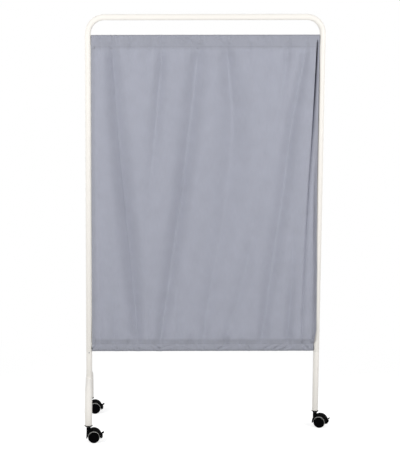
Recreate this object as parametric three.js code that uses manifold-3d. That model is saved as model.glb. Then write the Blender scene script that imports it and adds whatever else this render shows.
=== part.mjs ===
// Ward privacy screen on wheels, in millimetres, +Z up, front towards -Y.
// A U-bent tube frame carries a gathered curtain on two rods. It stands on a foot bow with two
// castors at its left and on one straight leg with a single castor at its right.

import * as THREE from 'three';
import { mergeVertices } from 'three/addons/utils/BufferGeometryUtils.js';
import Module from 'manifold-3d';

const wasm = await Module();
wasm.setup();

// Overall size
const OVERALL_WIDTH = 1000;
const OVERALL_HEIGHT = 1760;
const CASTOR_SPREAD = 430;

// Clearance between pieces that touch, and how far a cutting tool runs past what it cuts
const TOUCH_GAP = 0.3;
const CUT_OVERRUN = 2;

// Frame tube
const TUBE_RADIUS = 12.5;
const TUBE_WALL = 1.5;
const CORNER_RADIUS = 67.5;
const JOINT_HEIGHT = 332;
const LEG_END_HEIGHT = 73;

// Foot bow tube
const BOW_TUBE_RADIUS = 15;
const BOW_TUBE_WALL = 1.5;
const BOW_TOP_HEIGHT = 220;
const BOW_FOOT_RUN = 20;

// Tube joints
const SPIGOT_WALL = 1.5;
const SPIGOT_LENGTH = 90;
const PIN_RADIUS = 2;
const PIN_HEAD_RADIUS = 2.6;
const PIN_HEAD_HEIGHT = 0.8;
const PIN_DROP = 2.4;
const PIN_DOME_SHARE = 0.7;

// Curtain rods and their end plugs
const ROD_RADIUS = 6;
const ROD_WALL = 1;
const PLUG_FLANGE = 3;
const PLUG_SPIGOT_LENGTH = 12;
const PLUG_PEG_RADIUS = 3.5;
const PLUG_PEG_LENGTH = 6;

// Curtain
const CURTAIN_UNDER_TOP = 85;
const CURTAIN_OVER_JOINT = 5;
const CLOTH_THICKNESS = 1.6;
const TOP_POCKET = 49;
const BOTTOM_POCKET = 36;
const FOLD_DEPTH = 7;
const FOLD_RAMP = 130;
const EDGE_LAP = 9;
const EDGE_FORWARD = 15.6;

// Castor
const WHEEL_RADIUS = 25;
const WHEEL_WIDTH = 18;
const CASTOR_WIDTH = 50;
const CASTOR_TRAIL = 22;
const RIGHT_CASTOR_TURN = -20;
const TYRE_SEAT_RADIUS = 19;
const TYRE_LIP = 0.8;
const TYRE_SHOULDER = 8.5;
const FACE_RADIUS = 22.4;
const FACE_THICKNESS = 1.4;
const FACE_DISH = 1.1;
const FACE_HUB_RADIUS = 7;
const AXLE_RADIUS = 3;
const AXLE_LENGTH = 40;
const HUB_BOSS_RADIUS = 6.5;
const HOOD_RADIUS = 30.5;
const HOOD_CROWN = 2.4;
const HOOD_WIDTH = 47;
const HOOD_CAVITY_GAP = 1.5;
const HOOD_SKIRT_HEIGHT = 21;
const WEB_THICKNESS = 11;
const TOWER_RADIUS = 7.8;
const TOWER_HEIGHT = 60.3;
const TOWER_CHAMFER = 0.8;

// Castor stem
const STEM_PIN_RADIUS = 4;
const STEM_PIN_BOTTOM = 40;
const STEM_BARB = 0.7;
const STEM_BARB_LENGTH = 3;
const STEM_SHOULDER_RADIUS = 6.5;
const STEM_THREAD_RADIUS = 4.8;
const STEM_THREAD_LENGTH = 28;

// Tube insert
const INSERT_LENGTH = 20;
const INSERT_FLANGE = 3.5;
const INSERT_NECK_RADIUS = 7.8;
const INSERT_NECK = 6.2;
const INSERT_EDGE_SET_BACK = 0.5;

// Brake lever
const LEVER_REACH = 29.5;
const LEVER_RISE = 1.5;
const LEVER_WIDTH = 18;
const LEVER_BARREL_RADIUS = 3.9;
const LEVER_FLAT = 3.1;
const LEVER_BLADE = 2.6;
const LEVER_TIP_REACH = 12;
const LEVER_TIP_RISE = 16.5;
const LEVER_PIN_RADIUS = 1.5;
const EAR_RADIUS = 7.5;
const EAR_WIDTH = 28;

// Facet counts
const TUBE_SIDES = 20;
const BEND_STEPS = 7;
const WHEEL_SIDES = 24;
const HOOD_SIDES = 32;
const BOSS_SIDES = 20;
const SMALL_SIDES = 16;
const CROWN_STEPS = 6;
const SHOULDER_STEPS = 3;
const SECTION_ARC_STEPS = 5;

// Lines down the cloth, from its left edge to its right, each one a crest, a valley or a shoulder of a
// fold. A row is the share of the width where the line stands under the top pocket, the same above the
// bottom pocket, and how far back it stands in the upper and in the lower half, as shares of FOLD_DEPTH.
const FOLD_LINE_SHARES = [
  [0, 0, 0, 0],
  [0.03, 0.045, -0.6, -0.4],
  [0.062, 0.155, -0.2, -0.2],
  [0.098, 0.198, 1.0, 1.0],
  [0.138, 0.222, 0, 0.2],
  [0.2, 0.234, -0.5, 0],
  [0.268, 0.246, -0.3, 0],
  [0.306, 0.256, 0.8, 0],
  [0.342, 0.266, -0.3, -0.1],
  [0.39, 0.276, -0.5, 0],
  [0.432, 0.288, -0.1, 0.3],
  [0.466, 0.305, 0.9, 1.1],
  [0.506, 0.34, -0.3, -0.1],
  [0.545, 0.41, -0.5, -0.5],
  [0.572, 0.462, -0.1, -0.1],
  [0.604, 0.495, 0.9, 0.7],
  [0.642, 0.527, 0, -0.1],
  [0.7, 0.565, -0.3, -0.2],
  [0.772, 0.602, 0.3, 0.6],
  [0.815, 0.64, -0.3, -0.2],
  [0.842, 0.675, 0, -0.5],
  [0.866, 0.705, 0.7, -0.3],
  [0.892, 0.728, -0.2, 0.1],
  [0.935, 0.757, 0.8, 0.9],
  [0.954, 0.795, -0.3, -0.2],
  [0.962, 0.835, -0.5, -0.3],
  [0.968, 0.87, -0.4, 0.7],
  [0.974, 0.9, -0.6, -0.2],
  [0.98, 0.925, -1.0, -0.9],
  [0.99, 0.955, 1.3, 1.1],
  [1, 1, 0, 0],
];

// Shares of the curtain's height between its seams where its rows of points lie, from the bottom up,
// and how far the right edge laps over the post and stands in front of it there
const ROW_SHARES = [0, 0.012, 0.05, 0.12, 0.4, 0.85, 1];
const ROW_LAP_SHARES = [0, 0.05, 1, 0.95, 0.72, 0.1, 0];
const ROW_FORWARD_SHARES = [0, 1, 1, 1, 1, 1, 0];

// Outline of the brake lever's blade from its barrel to its tip and back. Each point is a share of the
// tip's reach and a share of its rise from the pin.
const BLADE_SHARES = [
  [0.11, 0],
  [0.22, 0.45],
  [0.4, 0.64],
  [1, 0.84],
  [1.06, 0.92],
  [0.9, 1],
  [0.2, 0.72],
  [0, 0.5],
  [-0.06, 0],
];

// Sizes that follow from the ones above
const POST_X = OVERALL_WIDTH / 2 - TUBE_RADIUS;
const TUBE_BORE = TUBE_RADIUS - TUBE_WALL;
const BOW_AXIS_HEIGHT = BOW_TOP_HEIGHT - BOW_TUBE_RADIUS;
const BOW_BEND_RADIUS = BOW_AXIS_HEIGHT - LEG_END_HEIGHT - BOW_FOOT_RUN;
const CURTAIN_TOP = OVERALL_HEIGHT - CURTAIN_UNDER_TOP;
const CURTAIN_BOTTOM = JOINT_HEIGHT + CURTAIN_OVER_JOINT;
const CASTOR_Y = CASTOR_SPREAD / 2;
const POST_FACE_X = POST_X - TUBE_RADIUS;
const POCKET_RADIUS = ROD_RADIUS + TOUCH_GAP;
const SLEEVE_RADIUS = POCKET_RADIUS + CLOTH_THICKNESS;
const TOP_ROD_HEIGHT = CURTAIN_TOP - SLEEVE_RADIUS;
const BOTTOM_ROD_HEIGHT = CURTAIN_BOTTOM + SLEEVE_RADIUS;
const TOP_SEAM_HEIGHT = CURTAIN_TOP - TOP_POCKET;
const BOTTOM_SEAM_HEIGHT = CURTAIN_BOTTOM + BOTTOM_POCKET;
const WHEEL_INNER_Y = CASTOR_WIDTH / 2 - WHEEL_WIDTH;
const HOOD_CAVITY_RADIUS = WHEEL_RADIUS + HOOD_CAVITY_GAP;
const INSERT_BOTTOM = LEG_END_HEIGHT - TOUCH_GAP - INSERT_FLANGE - INSERT_NECK;
const LEVER_X = CASTOR_TRAIL + LEVER_REACH;
const LEVER_Z = WHEEL_RADIUS + LEVER_RISE;
const LEVER_PIN_HOLE = LEVER_PIN_RADIUS + TOUCH_GAP;

// Materials, one function for each finish
function coatedSteel(color = 0xece8de) {
  return new THREE.MeshStandardMaterial({ color, roughness: 0.42, metalness: 0.0 });
}

function bareSteel() {
  return new THREE.MeshStandardMaterial({ color: 0xb9bbbd, roughness: 0.3, metalness: 1.0 });
}

function blackPlastic() {
  return new THREE.MeshStandardMaterial({ color: 0x0d0d0e, roughness: 0.45, metalness: 0.0 });
}

function greyTread() {
  return new THREE.MeshStandardMaterial({ color: 0x7c7c7c, roughness: 0.7, metalness: 0.0 });
}

function blueGreyCloth() {
  return new THREE.MeshStandardMaterial({ color: 0x9ea0ae, roughness: 0.9, metalness: 0.0 });
}

// Geometry helpers
function weld(geometry) {
  geometry.deleteAttribute('normal');
  geometry.deleteAttribute('uv');
  const welded = mergeVertices(geometry);
  const index = Array.from(welded.index.array);
  const kept = [];
  for (let i = 0; i < index.length; i += 3) {
    const [a, b, c] = index.slice(i, i + 3);
    if (a !== b && b !== c && c !== a) kept.push(a, b, c);
  }
  welded.setIndex(kept);
  return welded;
}

function toSolid(geometry) {
  const welded = weld(geometry);
  return new wasm.Manifold(new wasm.Mesh({
    numProp: 3,
    vertProperties: new Float32Array(welded.attributes.position.array),
    triVerts: new Uint32Array(welded.index.array),
  }));
}

function toGeometry(solid) {
  const mesh = solid.getMesh();
  const geometry = new THREE.BufferGeometry();
  geometry.setAttribute('position', new THREE.BufferAttribute(new Float32Array(mesh.vertProperties), 3));
  geometry.setIndex(Array.from(mesh.triVerts));
  const faceted = geometry.toNonIndexed();
  faceted.computeVertexNormals();
  return faceted;
}

// A turned piece: the profile lists [radius, height] pairs about the Z axis
function turned(profile, sides) {
  const points = profile.map(([radius, height]) => new THREE.Vector2(radius, height));
  const geometry = new THREE.LatheGeometry(points, sides);
  geometry.rotateX(Math.PI / 2);
  geometry.rotateZ(Math.PI / sides);
  return geometry;
}

// The same piece laid along the Y axis, with a flat facet straight below its axis
function turnedAcross(profile, sides) {
  const geometry = new THREE.LatheGeometry(profile.map(([r, y]) => new THREE.Vector2(r, y)), sides);
  geometry.rotateY(Math.PI / sides);
  return geometry;
}

function rodAcross(radius, length, sides) {
  const half = length / 2;
  return turnedAcross([[0, -half], [radius, -half], [radius, half], [0, half]], sides);
}

// An outline in the XZ plane, given as [x, z] pairs, made as thick as width about y = 0
function plateAcross(outline, width) {
  const shape = new THREE.Shape(outline.map(([x, z]) => new THREE.Vector2(x, z)));
  const geometry = new THREE.ExtrudeGeometry(shape, { depth: width, bevelEnabled: false });
  geometry.translate(0, 0, -width / 2);
  geometry.rotateX(Math.PI / 2);
  return geometry;
}

function circlePath(PathClass, radius, sides) {
  const path = new PathClass();
  for (let i = 0; i < sides; i += 1) {
    const angle = ((i + 0.5) * 2 * Math.PI) / sides;
    const point = [radius * Math.cos(angle), radius * Math.sin(angle)];
    if (i === 0) path.moveTo(...point);
    else path.lineTo(...point);
  }
  path.closePath();
  return path;
}

function tubeSection(outerRadius, wall, sides) {
  const section = circlePath(THREE.Shape, outerRadius, sides);
  section.holes.push(circlePath(THREE.Path, outerRadius - wall, sides));
  return section;
}

// A path of straight runs and round bends whose rings fall at the ends of the straights and evenly
// round the bends, so that a long straight run takes no more rings than a short one
class BentPath extends THREE.Curve {
  constructor(stations) {
    super();
    this.stations = stations;
  }

  station(u) {
    const last = this.stations.length - 1;
    return this.stations[Math.min(last, Math.round(u * last))];
  }

  getPointAt(u) {
    return this.station(u).point.clone();
  }

  getTangentAt(u) {
    return this.station(u).tangent.clone();
  }
}

function bendStations(centre, fromAngle, toAngle, radius, plane) {
  const stations = [];
  for (let i = 0; i <= BEND_STEPS; i += 1) {
    const angle = THREE.MathUtils.lerp(fromAngle, toAngle, i / BEND_STEPS);
    const along = Math.cos(angle);
    const up = Math.sin(angle);
    const turn = Math.sign(toAngle - fromAngle);
    stations.push({
      point: plane(centre[0] + radius * along, centre[1] + radius * up),
      tangent: plane(-turn * up, turn * along),
    });
  }
  return stations;
}

// Stations of an upside-down U of the given half width, from its left foot to its right foot
function archStations(halfWidth, footHeight, topHeight, bendRadius, plane) {
  const bendHeight = topHeight - bendRadius;
  const bendX = halfWidth - bendRadius;
  return [
    { point: plane(-halfWidth, footHeight), tangent: plane(0, 1) },
    ...bendStations([-bendX, bendHeight], Math.PI, Math.PI / 2, bendRadius, plane),
    ...bendStations([bendX, bendHeight], Math.PI / 2, 0, bendRadius, plane),
    { point: plane(halfWidth, footHeight), tangent: plane(0, -1) },
  ];
}

function tubeAlong(stations, radius, wall) {
  return new THREE.ExtrudeGeometry(tubeSection(radius, wall, TUBE_SIDES), {
    extrudePath: new BentPath(stations),
    steps: stations.length - 1,
  });
}

function straightTube(radius, wall, bottom, top) {
  const geometry = new THREE.ExtrudeGeometry(tubeSection(radius, wall, TUBE_SIDES), {
    depth: top - bottom,
    bevelEnabled: false,
  });
  geometry.translate(0, 0, bottom);
  return geometry;
}

function named(name, geometry, material) {
  const mesh = new THREE.Mesh(geometry, material);
  mesh.name = name;
  return mesh;
}

// Frame tubes
function plugHole(side, height) {
  const hole = rodAcross(PLUG_PEG_RADIUS + TOUCH_GAP, TUBE_RADIUS, SMALL_SIDES);
  hole.rotateZ(Math.PI / 2);
  hole.translate(side * (POST_FACE_X + TUBE_WALL), 0, height);
  return toSolid(hole);
}

function upperFrame() {
  const plane = (x, z) => new THREE.Vector3(x, 0, z);
  const stations = archStations(
    POST_X, JOINT_HEIGHT + TOUCH_GAP, OVERALL_HEIGHT - TUBE_RADIUS, CORNER_RADIUS, plane,
  );
  let solid = toSolid(tubeAlong(stations, TUBE_RADIUS, TUBE_WALL));
  for (const side of [-1, 1]) {
    for (const height of [TOP_ROD_HEIGHT, BOTTOM_ROD_HEIGHT]) {
      solid = solid.subtract(plugHole(side, height));
    }
  }
  return named('upper_frame', toGeometry(solid), coatedSteel());
}

// The notch at the top of a lower tube where the locating pin sits, open upwards
function pinNotch(facing) {
  const radius = PIN_RADIUS + TOUCH_GAP;
  const round = rodAcross(radius, TUBE_RADIUS, SMALL_SIDES);
  const slot = new THREE.BoxGeometry(2 * radius, TUBE_RADIUS, PIN_DROP + CUT_OVERRUN);
  slot.translate(0, 0, (PIN_DROP + CUT_OVERRUN) / 2);
  const notch = toSolid(round).add(toSolid(slot));
  return notch.translate([0, facing * TUBE_RADIUS, JOINT_HEIGHT - PIN_DROP]);
}

function leftPostLower() {
  const tube = toSolid(straightTube(TUBE_RADIUS, TUBE_WALL, BOW_AXIS_HEIGHT, JOINT_HEIGHT));
  const bow = rodAcross(BOW_TUBE_RADIUS + TOUCH_GAP, 2 * (TUBE_RADIUS + CUT_OVERRUN), 2 * TUBE_SIDES);
  bow.translate(0, 0, BOW_AXIS_HEIGHT);
  const mesh = named('left_post_lower', toGeometry(tube.subtract(toSolid(bow)).subtract(pinNotch(-1))),
    coatedSteel());
  mesh.position.x = -POST_X;
  return mesh;
}

function rightLeg() {
  const tube = toSolid(straightTube(TUBE_RADIUS, TUBE_WALL, LEG_END_HEIGHT, JOINT_HEIGHT));
  const mesh = named('right_leg', toGeometry(tube.subtract(pinNotch(1))), coatedSteel());
  mesh.position.x = POST_X;
  return mesh;
}

function footArch() {
  const plane = (y, z) => new THREE.Vector3(0, y, z);
  const stations = archStations(CASTOR_Y, LEG_END_HEIGHT, BOW_AXIS_HEIGHT, BOW_BEND_RADIUS, plane);
  const mesh = named('foot_arch', weld(tubeAlong(stations, BOW_TUBE_RADIUS, BOW_TUBE_WALL)), coatedSteel());
  mesh.position.x = -POST_X;
  return mesh;
}

// Tube joints. The lower rod's peg also passes through the spigot and keeps it in the upper frame.
function spigot(name, side, facing) {
  const radius = TUBE_BORE - TOUCH_GAP;
  const half = SPIGOT_LENGTH / 2;
  const tube = toSolid(straightTube(radius, SPIGOT_WALL, JOINT_HEIGHT - half, JOINT_HEIGHT + half));
  const hole = rodAcross(PIN_RADIUS + TOUCH_GAP, TUBE_RADIUS, SMALL_SIDES);
  hole.translate(0, facing * TUBE_RADIUS, JOINT_HEIGHT - PIN_DROP);
  const peg = plugHole(side, BOTTOM_ROD_HEIGHT).translate([-side * POST_X, 0, 0]);
  const mesh = named(name, toGeometry(tube.subtract(toSolid(hole)).subtract(peg)), bareSteel());
  mesh.position.x = side * POST_X;
  return mesh;
}

function locatingPin(name, side, facing) {
  const root = TUBE_BORE - TOUCH_GAP - SPIGOT_WALL;
  const seat = TUBE_RADIUS + TOUCH_GAP;
  const geometry = turned([
    [0, root],
    [PIN_RADIUS, root],
    [PIN_RADIUS, seat],
    [PIN_HEAD_RADIUS, seat],
    [PIN_HEAD_RADIUS * PIN_DOME_SHARE, seat + PIN_HEAD_HEIGHT],
    [0, seat + PIN_HEAD_HEIGHT],
  ], SMALL_SIDES);
  geometry.rotateX((-facing * Math.PI) / 2);
  geometry.translate(side * POST_X, 0, JOINT_HEIGHT - PIN_DROP);
  return named(name, weld(geometry), bareSteel());
}

// Curtain rods
function curtainRod(name, height) {
  const half = POST_FACE_X - 2 * TOUCH_GAP - PLUG_FLANGE;
  const geometry = straightTube(ROD_RADIUS, ROD_WALL, -half, half);
  geometry.rotateY(Math.PI / 2);
  geometry.translate(0, 0, height);
  return named(name, weld(geometry), coatedSteel(0xdedad0));
}

function rodPlug(name, side, height) {
  const face = TOUCH_GAP;
  const flange = face + PLUG_FLANGE;
  const spigotRadius = ROD_RADIUS - ROD_WALL - TOUCH_GAP;
  const geometry = turned([
    [0, -PLUG_PEG_LENGTH],
    [PLUG_PEG_RADIUS, -PLUG_PEG_LENGTH],
    [PLUG_PEG_RADIUS, face],
    [ROD_RADIUS, face],
    [ROD_RADIUS, flange],
    [spigotRadius, flange],
    [spigotRadius, flange + PLUG_SPIGOT_LENGTH],
    [0, flange + PLUG_SPIGOT_LENGTH],
  ], SMALL_SIDES);
  geometry.rotateY((-side * Math.PI) / 2);
  geometry.translate(side * POST_FACE_X, 0, height);
  return named(name, weld(geometry), blackPlastic());
}

// Curtain: one sheet with a sleeve round each rod. Its section in the YZ plane is a list of [y, z]
// points. The same section stands at each column across the width, and the folds move its points.
function rowHeights() {
  const span = TOP_SEAM_HEIGHT - BOTTOM_SEAM_HEIGHT;
  return ROW_SHARES.map((share) => BOTTOM_SEAM_HEIGHT + share * span);
}

// Half a circle round a rod from its rear to its front, over the top where up is 1
function sleeveArc(rodHeight, radius, up) {
  const points = [];
  for (let i = 0; i <= SECTION_ARC_STEPS; i += 1) {
    const angle = (i * Math.PI) / SECTION_ARC_STEPS;
    points.push([radius * Math.cos(angle), rodHeight + up * radius * Math.sin(angle)]);
  }
  return points;
}

// The section's points, its outer loop and its two pocket loops, and the cells that close its ends
function curtainSection() {
  const points = [];
  const add = (list) => list.map((point) => points.push(point) - 1);
  const half = CLOTH_THICKNESS / 2;
  const rear = add(rowHeights().map((height) => [half, height]));
  const front = add(rowHeights().map((height) => [-half, height]));
  const last = rear.length - 1;
  const pockets = [
    { rod: TOP_ROD_HEIGHT, up: 1, seam: TOP_SEAM_HEIGHT, from: rear[last], to: front[last] },
    { rod: BOTTOM_ROD_HEIGHT, up: -1, seam: BOTTOM_SEAM_HEIGHT, from: rear[0], to: front[0] },
  ];
  const loops = [];
  const cells = [];
  for (const pocket of pockets) {
    const { rod, up, seam, from, to } = pocket;
    pocket.sleeve = add(sleeveArc(rod, SLEEVE_RADIUS, up));
    const lining = add(sleeveArc(rod, POCKET_RADIUS, up));
    const [apex] = add([[0, seam + up * CLOTH_THICKNESS]]);
    const outer = [from, ...pocket.sleeve, to];
    const inner = [apex, ...lining, apex];
    const pocketCells = [[from, apex, to]];
    for (let i = 0; i + 1 < outer.length; i += 1) {
      pocketCells.push([outer[i], outer[i + 1], inner[i + 1], inner[i]]);
    }
    cells.push(...pocketCells.map((cell) => (up > 0 ? cell : cell.reverse())));
    loops.push(up > 0 ? [apex, ...lining.reverse()] : [apex, ...lining]);
  }
  for (let row = 0; row < last; row += 1) {
    cells.push([rear[row], rear[row + 1], front[row + 1], front[row]]);
  }
  const [top, bottom] = pockets;
  loops.push([...bottom.sleeve.reverse(), ...rear, ...top.sleeve, ...front.reverse()]);
  return { points, loops, cells };
}

// A value between the rows of the curtain, from a table that has one value for each row
function betweenRows(height, shares) {
  const rows = rowHeights();
  if (height <= rows[0] || height >= rows[rows.length - 1]) return 0;
  let row = 0;
  while (height > rows[row + 1]) row += 1;
  const blend = (height - rows[row]) / (rows[row + 1] - rows[row]);
  return THREE.MathUtils.lerp(shares[row], shares[row + 1], blend);
}

// Where a point of the section stands on one line down the cloth. The right edge laps over the post.
function curtainPoint([y, z], [topShare, bottomShare, upperDepth, lowerDepth]) {
  const span = TOP_SEAM_HEIGHT - BOTTOM_SEAM_HEIGHT;
  const fromTop = THREE.MathUtils.clamp((TOP_SEAM_HEIGHT - z) / span, 0, 1);
  const x = (2 * THREE.MathUtils.lerp(topShare, bottomShare, fromTop) - 1) * (POST_FACE_X - TOUCH_GAP);
  if (topShare === 1) {
    const lap = EDGE_LAP * betweenRows(z, ROW_LAP_SHARES);
    return [x + lap, y - EDGE_FORWARD * betweenRows(z, ROW_FORWARD_SHARES), z];
  }
  const toSeam = Math.min(TOP_SEAM_HEIGHT - z, z - BOTTOM_SEAM_HEIGHT);
  const depth = FOLD_DEPTH * THREE.MathUtils.lerp(upperDepth, lowerDepth, fromTop);
  return [x, y + depth * THREE.MathUtils.smoothstep(toSeam, 0, FOLD_RAMP), z];
}

// The cloth's skin between the lines. The cells of its front and rear are cut along the same diagonal,
// so that the two stay one cloth's thickness apart where a fold runs aslant.
function curtain() {
  const { points, loops, cells } = curtainSection();
  const count = points.length;
  const position = FOLD_LINE_SHARES.flatMap((line) => points.flatMap((point) => curtainPoint(point, line)));
  const index = [];
  const addCell = (corners) => {
    for (let i = 1; i + 1 < corners.length; i += 1) index.push(corners[0], corners[i], corners[i + 1]);
  };
  for (let column = 0; column + 1 < FOLD_LINE_SHARES.length; column += 1) {
    for (const loop of loops) {
      loop.forEach((point, i) => {
        const next = loop[(i + 1) % loop.length];
        const rising = points[next][1] > points[point][1];
        const cell = [point, next, next + count, point + count].map((corner) => corner + column * count);
        addCell(rising ? cell : [...cell.slice(1), cell[0]]);
      });
    }
  }
  const lastColumn = (FOLD_LINE_SHARES.length - 1) * count;
  for (const cell of cells) {
    addCell(cell.map((corner) => corner + lastColumn));
    addCell(cell.slice().reverse());
  }
  const geometry = new THREE.BufferGeometry();
  geometry.setAttribute('position', new THREE.Float32BufferAttribute(position, 3));
  geometry.setIndex(index);
  return named('curtain', geometry, blueGreyCloth());
}

// Tube inserts, which close the lower tube ends and take the castor stems
function tubeInsert(name, tubeRadius, wall) {
  const plug = tubeRadius - wall - TOUCH_GAP;
  const flangeTop = LEG_END_HEIGHT - TOUCH_GAP;
  const flangeBottom = flangeTop - INSERT_FLANGE;
  const rim = tubeRadius - INSERT_EDGE_SET_BACK;
  const bore = STEM_THREAD_RADIUS + TOUCH_GAP;
  const geometry = turned([
    [bore, INSERT_BOTTOM],
    [INSERT_NECK_RADIUS, INSERT_BOTTOM],
    [INSERT_NECK_RADIUS, flangeBottom - INSERT_NECK / 2],
    [rim - INSERT_FLANGE / 2, flangeBottom],
    [rim, flangeBottom + INSERT_FLANGE / 2],
    [rim, flangeTop],
    [plug, flangeTop],
    [plug, flangeTop + INSERT_LENGTH],
    [bore, flangeTop + INSERT_LENGTH],
    [bore, INSERT_BOTTOM],
  ], SMALL_SIDES);
  return named(name, weld(geometry), blackPlastic());
}

// Castor pieces, drawn with the stem on the Z axis, the floor at z = 0 and the wheels trailing to +X
function castorStem() {
  const shoulderBottom = TOWER_HEIGHT + TOUCH_GAP;
  const shoulderTop = INSERT_BOTTOM - TOUCH_GAP;
  const barbTop = STEM_PIN_BOTTOM + STEM_BARB_LENGTH;
  return weld(turned([
    [0, STEM_PIN_BOTTOM],
    [STEM_PIN_RADIUS, STEM_PIN_BOTTOM],
    [STEM_PIN_RADIUS + STEM_BARB, barbTop - STEM_BARB],
    [STEM_PIN_RADIUS + STEM_BARB, barbTop],
    [STEM_PIN_RADIUS, barbTop],
    [STEM_PIN_RADIUS, shoulderBottom],
    [STEM_SHOULDER_RADIUS, shoulderBottom],
    [STEM_SHOULDER_RADIUS, shoulderTop],
    [STEM_THREAD_RADIUS, shoulderTop],
    [STEM_THREAD_RADIUS, shoulderTop + STEM_THREAD_LENGTH],
    [0, shoulderTop + STEM_THREAD_LENGTH],
  ], SMALL_SIDES));
}

// The bore of the hood's tower, with the wider pocket that the stem's barb snaps into
function stemBore() {
  const radius = STEM_PIN_RADIUS + TOUCH_GAP;
  const pocketRadius = radius + STEM_BARB;
  const bottom = STEM_PIN_BOTTOM - TOUCH_GAP;
  const pocketTop = STEM_PIN_BOTTOM + STEM_BARB_LENGTH + TOUCH_GAP;
  return turned([
    [0, bottom],
    [pocketRadius, bottom],
    [pocketRadius, pocketTop],
    [radius, pocketTop],
    [radius, TOWER_HEIGHT + CUT_OVERRUN],
    [0, TOWER_HEIGHT + CUT_OVERRUN],
  ], SMALL_SIDES);
}

// The crowned drum that the hood is cut from: its radius falls off towards both rims
function crownedDrum() {
  const half = HOOD_WIDTH / 2;
  const profile = [[0, -half]];
  for (let i = 0; i <= CROWN_STEPS; i += 1) {
    const share = (2 * i) / CROWN_STEPS - 1;
    profile.push([HOOD_RADIUS - HOOD_CROWN * share ** 2, share * half]);
  }
  profile.push([0, half]);
  const drum = turnedAcross(profile, HOOD_SIDES);
  drum.translate(CASTOR_TRAIL, 0, WHEEL_RADIUS);
  return toSolid(drum);
}

// What lies under the hood's skirt: all but the hub boss is taken away below this line
function underSkirt() {
  const reach = 2 * HOOD_RADIUS;
  const skirt = HOOD_SKIRT_HEIGHT;
  const hubHeight = WHEEL_RADIUS - HUB_BOSS_RADIUS;
  return toSolid(plateAcross([
    [-reach, skirt],
    [-reach, -WHEEL_RADIUS],
    [CASTOR_TRAIL + reach, -WHEEL_RADIUS],
    [CASTOR_TRAIL + reach, skirt],
    [CASTOR_TRAIL + HUB_BOSS_RADIUS, skirt],
    [CASTOR_TRAIL + HUB_BOSS_RADIUS / 2, hubHeight],
    [CASTOR_TRAIL - HUB_BOSS_RADIUS / 2, hubHeight],
    [CASTOR_TRAIL - HUB_BOSS_RADIUS, skirt],
  ], 2 * CASTOR_WIDTH));
}

function wheelCavity(side) {
  const inner = WEB_THICKNESS / 2;
  const outer = CASTOR_WIDTH / 2 + CUT_OVERRUN;
  const cavity = rodAcross(HOOD_CAVITY_RADIUS, outer - inner, HOOD_SIDES);
  cavity.translate(CASTOR_TRAIL, (side * (outer + inner)) / 2, WHEEL_RADIUS);
  return toSolid(cavity);
}

function stemTower() {
  const top = TOWER_HEIGHT;
  const bottom = HOOD_SKIRT_HEIGHT;
  return toSolid(turned([
    [0, bottom],
    [TOWER_RADIUS, bottom],
    [TOWER_RADIUS, top - TOWER_CHAMFER],
    [TOWER_RADIUS - TOWER_CHAMFER, top],
    [0, top],
  ], BOSS_SIDES));
}

// The room that the lever sweeps through between the hood's ears
function leverSlot() {
  const width = LEVER_WIDTH + 2 * TOUCH_GAP;
  const barrel = rodAcross(LEVER_BARREL_RADIUS + 2 * TOUCH_GAP, width, SMALL_SIDES);
  const sweep = plateAcross([
    [-LEVER_BLADE / 2, 0],
    [LEVER_TIP_REACH, 0],
    [LEVER_TIP_REACH, LEVER_TIP_RISE],
    [-LEVER_BLADE / 2, LEVER_TIP_RISE],
  ], width);
  return toSolid(barrel).add(toSolid(sweep)).translate([LEVER_X, 0, LEVER_Z]);
}

function castorHood() {
  const ears = rodAcross(EAR_RADIUS, EAR_WIDTH, BOSS_SIDES);
  ears.translate(LEVER_X, 0, LEVER_Z);
  const hub = rodAcross(HUB_BOSS_RADIUS, 2 * (WHEEL_INNER_Y - TOUCH_GAP), BOSS_SIDES);
  hub.translate(CASTOR_TRAIL, 0, WHEEL_RADIUS);
  const axleHole = rodAcross(AXLE_RADIUS + TOUCH_GAP, CASTOR_WIDTH, SMALL_SIDES);
  axleHole.translate(CASTOR_TRAIL, 0, WHEEL_RADIUS);
  const pinHole = rodAcross(LEVER_PIN_HOLE, EAR_WIDTH + CUT_OVERRUN, SMALL_SIDES);
  pinHole.translate(LEVER_X, 0, LEVER_Z);
  let body = crownedDrum().subtract(underSkirt()).add(stemTower()).add(toSolid(ears));
  body = body.subtract(wheelCavity(-1)).subtract(wheelCavity(1)).add(toSolid(hub));
  body = body.subtract(toSolid(stemBore())).subtract(toSolid(axleHole));
  body = body.subtract(leverSlot()).subtract(toSolid(pinHole));
  return toGeometry(body);
}

// A wheel core: a hub with a blind bore and a dished outer face, outwards along +Y
function wheelCore() {
  const inner = WHEEL_INNER_Y;
  const outer = CASTOR_WIDTH / 2;
  const bore = AXLE_RADIUS + TOUCH_GAP;
  const boreEnd = AXLE_LENGTH / 2 + TOUCH_GAP;
  const faceBack = outer - FACE_THICKNESS;
  return weld(turnedAcross([
    [0, boreEnd],
    [bore, boreEnd],
    [bore, inner],
    [TYRE_SEAT_RADIUS, inner],
    [TYRE_SEAT_RADIUS, faceBack],
    [FACE_RADIUS, faceBack],
    [FACE_RADIUS, outer - FACE_THICKNESS / 2],
    [FACE_RADIUS - FACE_THICKNESS, outer],
    [FACE_RADIUS - 2 * FACE_THICKNESS, outer - FACE_DISH],
    [FACE_HUB_RADIUS, outer - FACE_DISH],
    [FACE_HUB_RADIUS - FACE_DISH, outer],
    [0, outer],
  ], WHEEL_SIDES));
}

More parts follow.
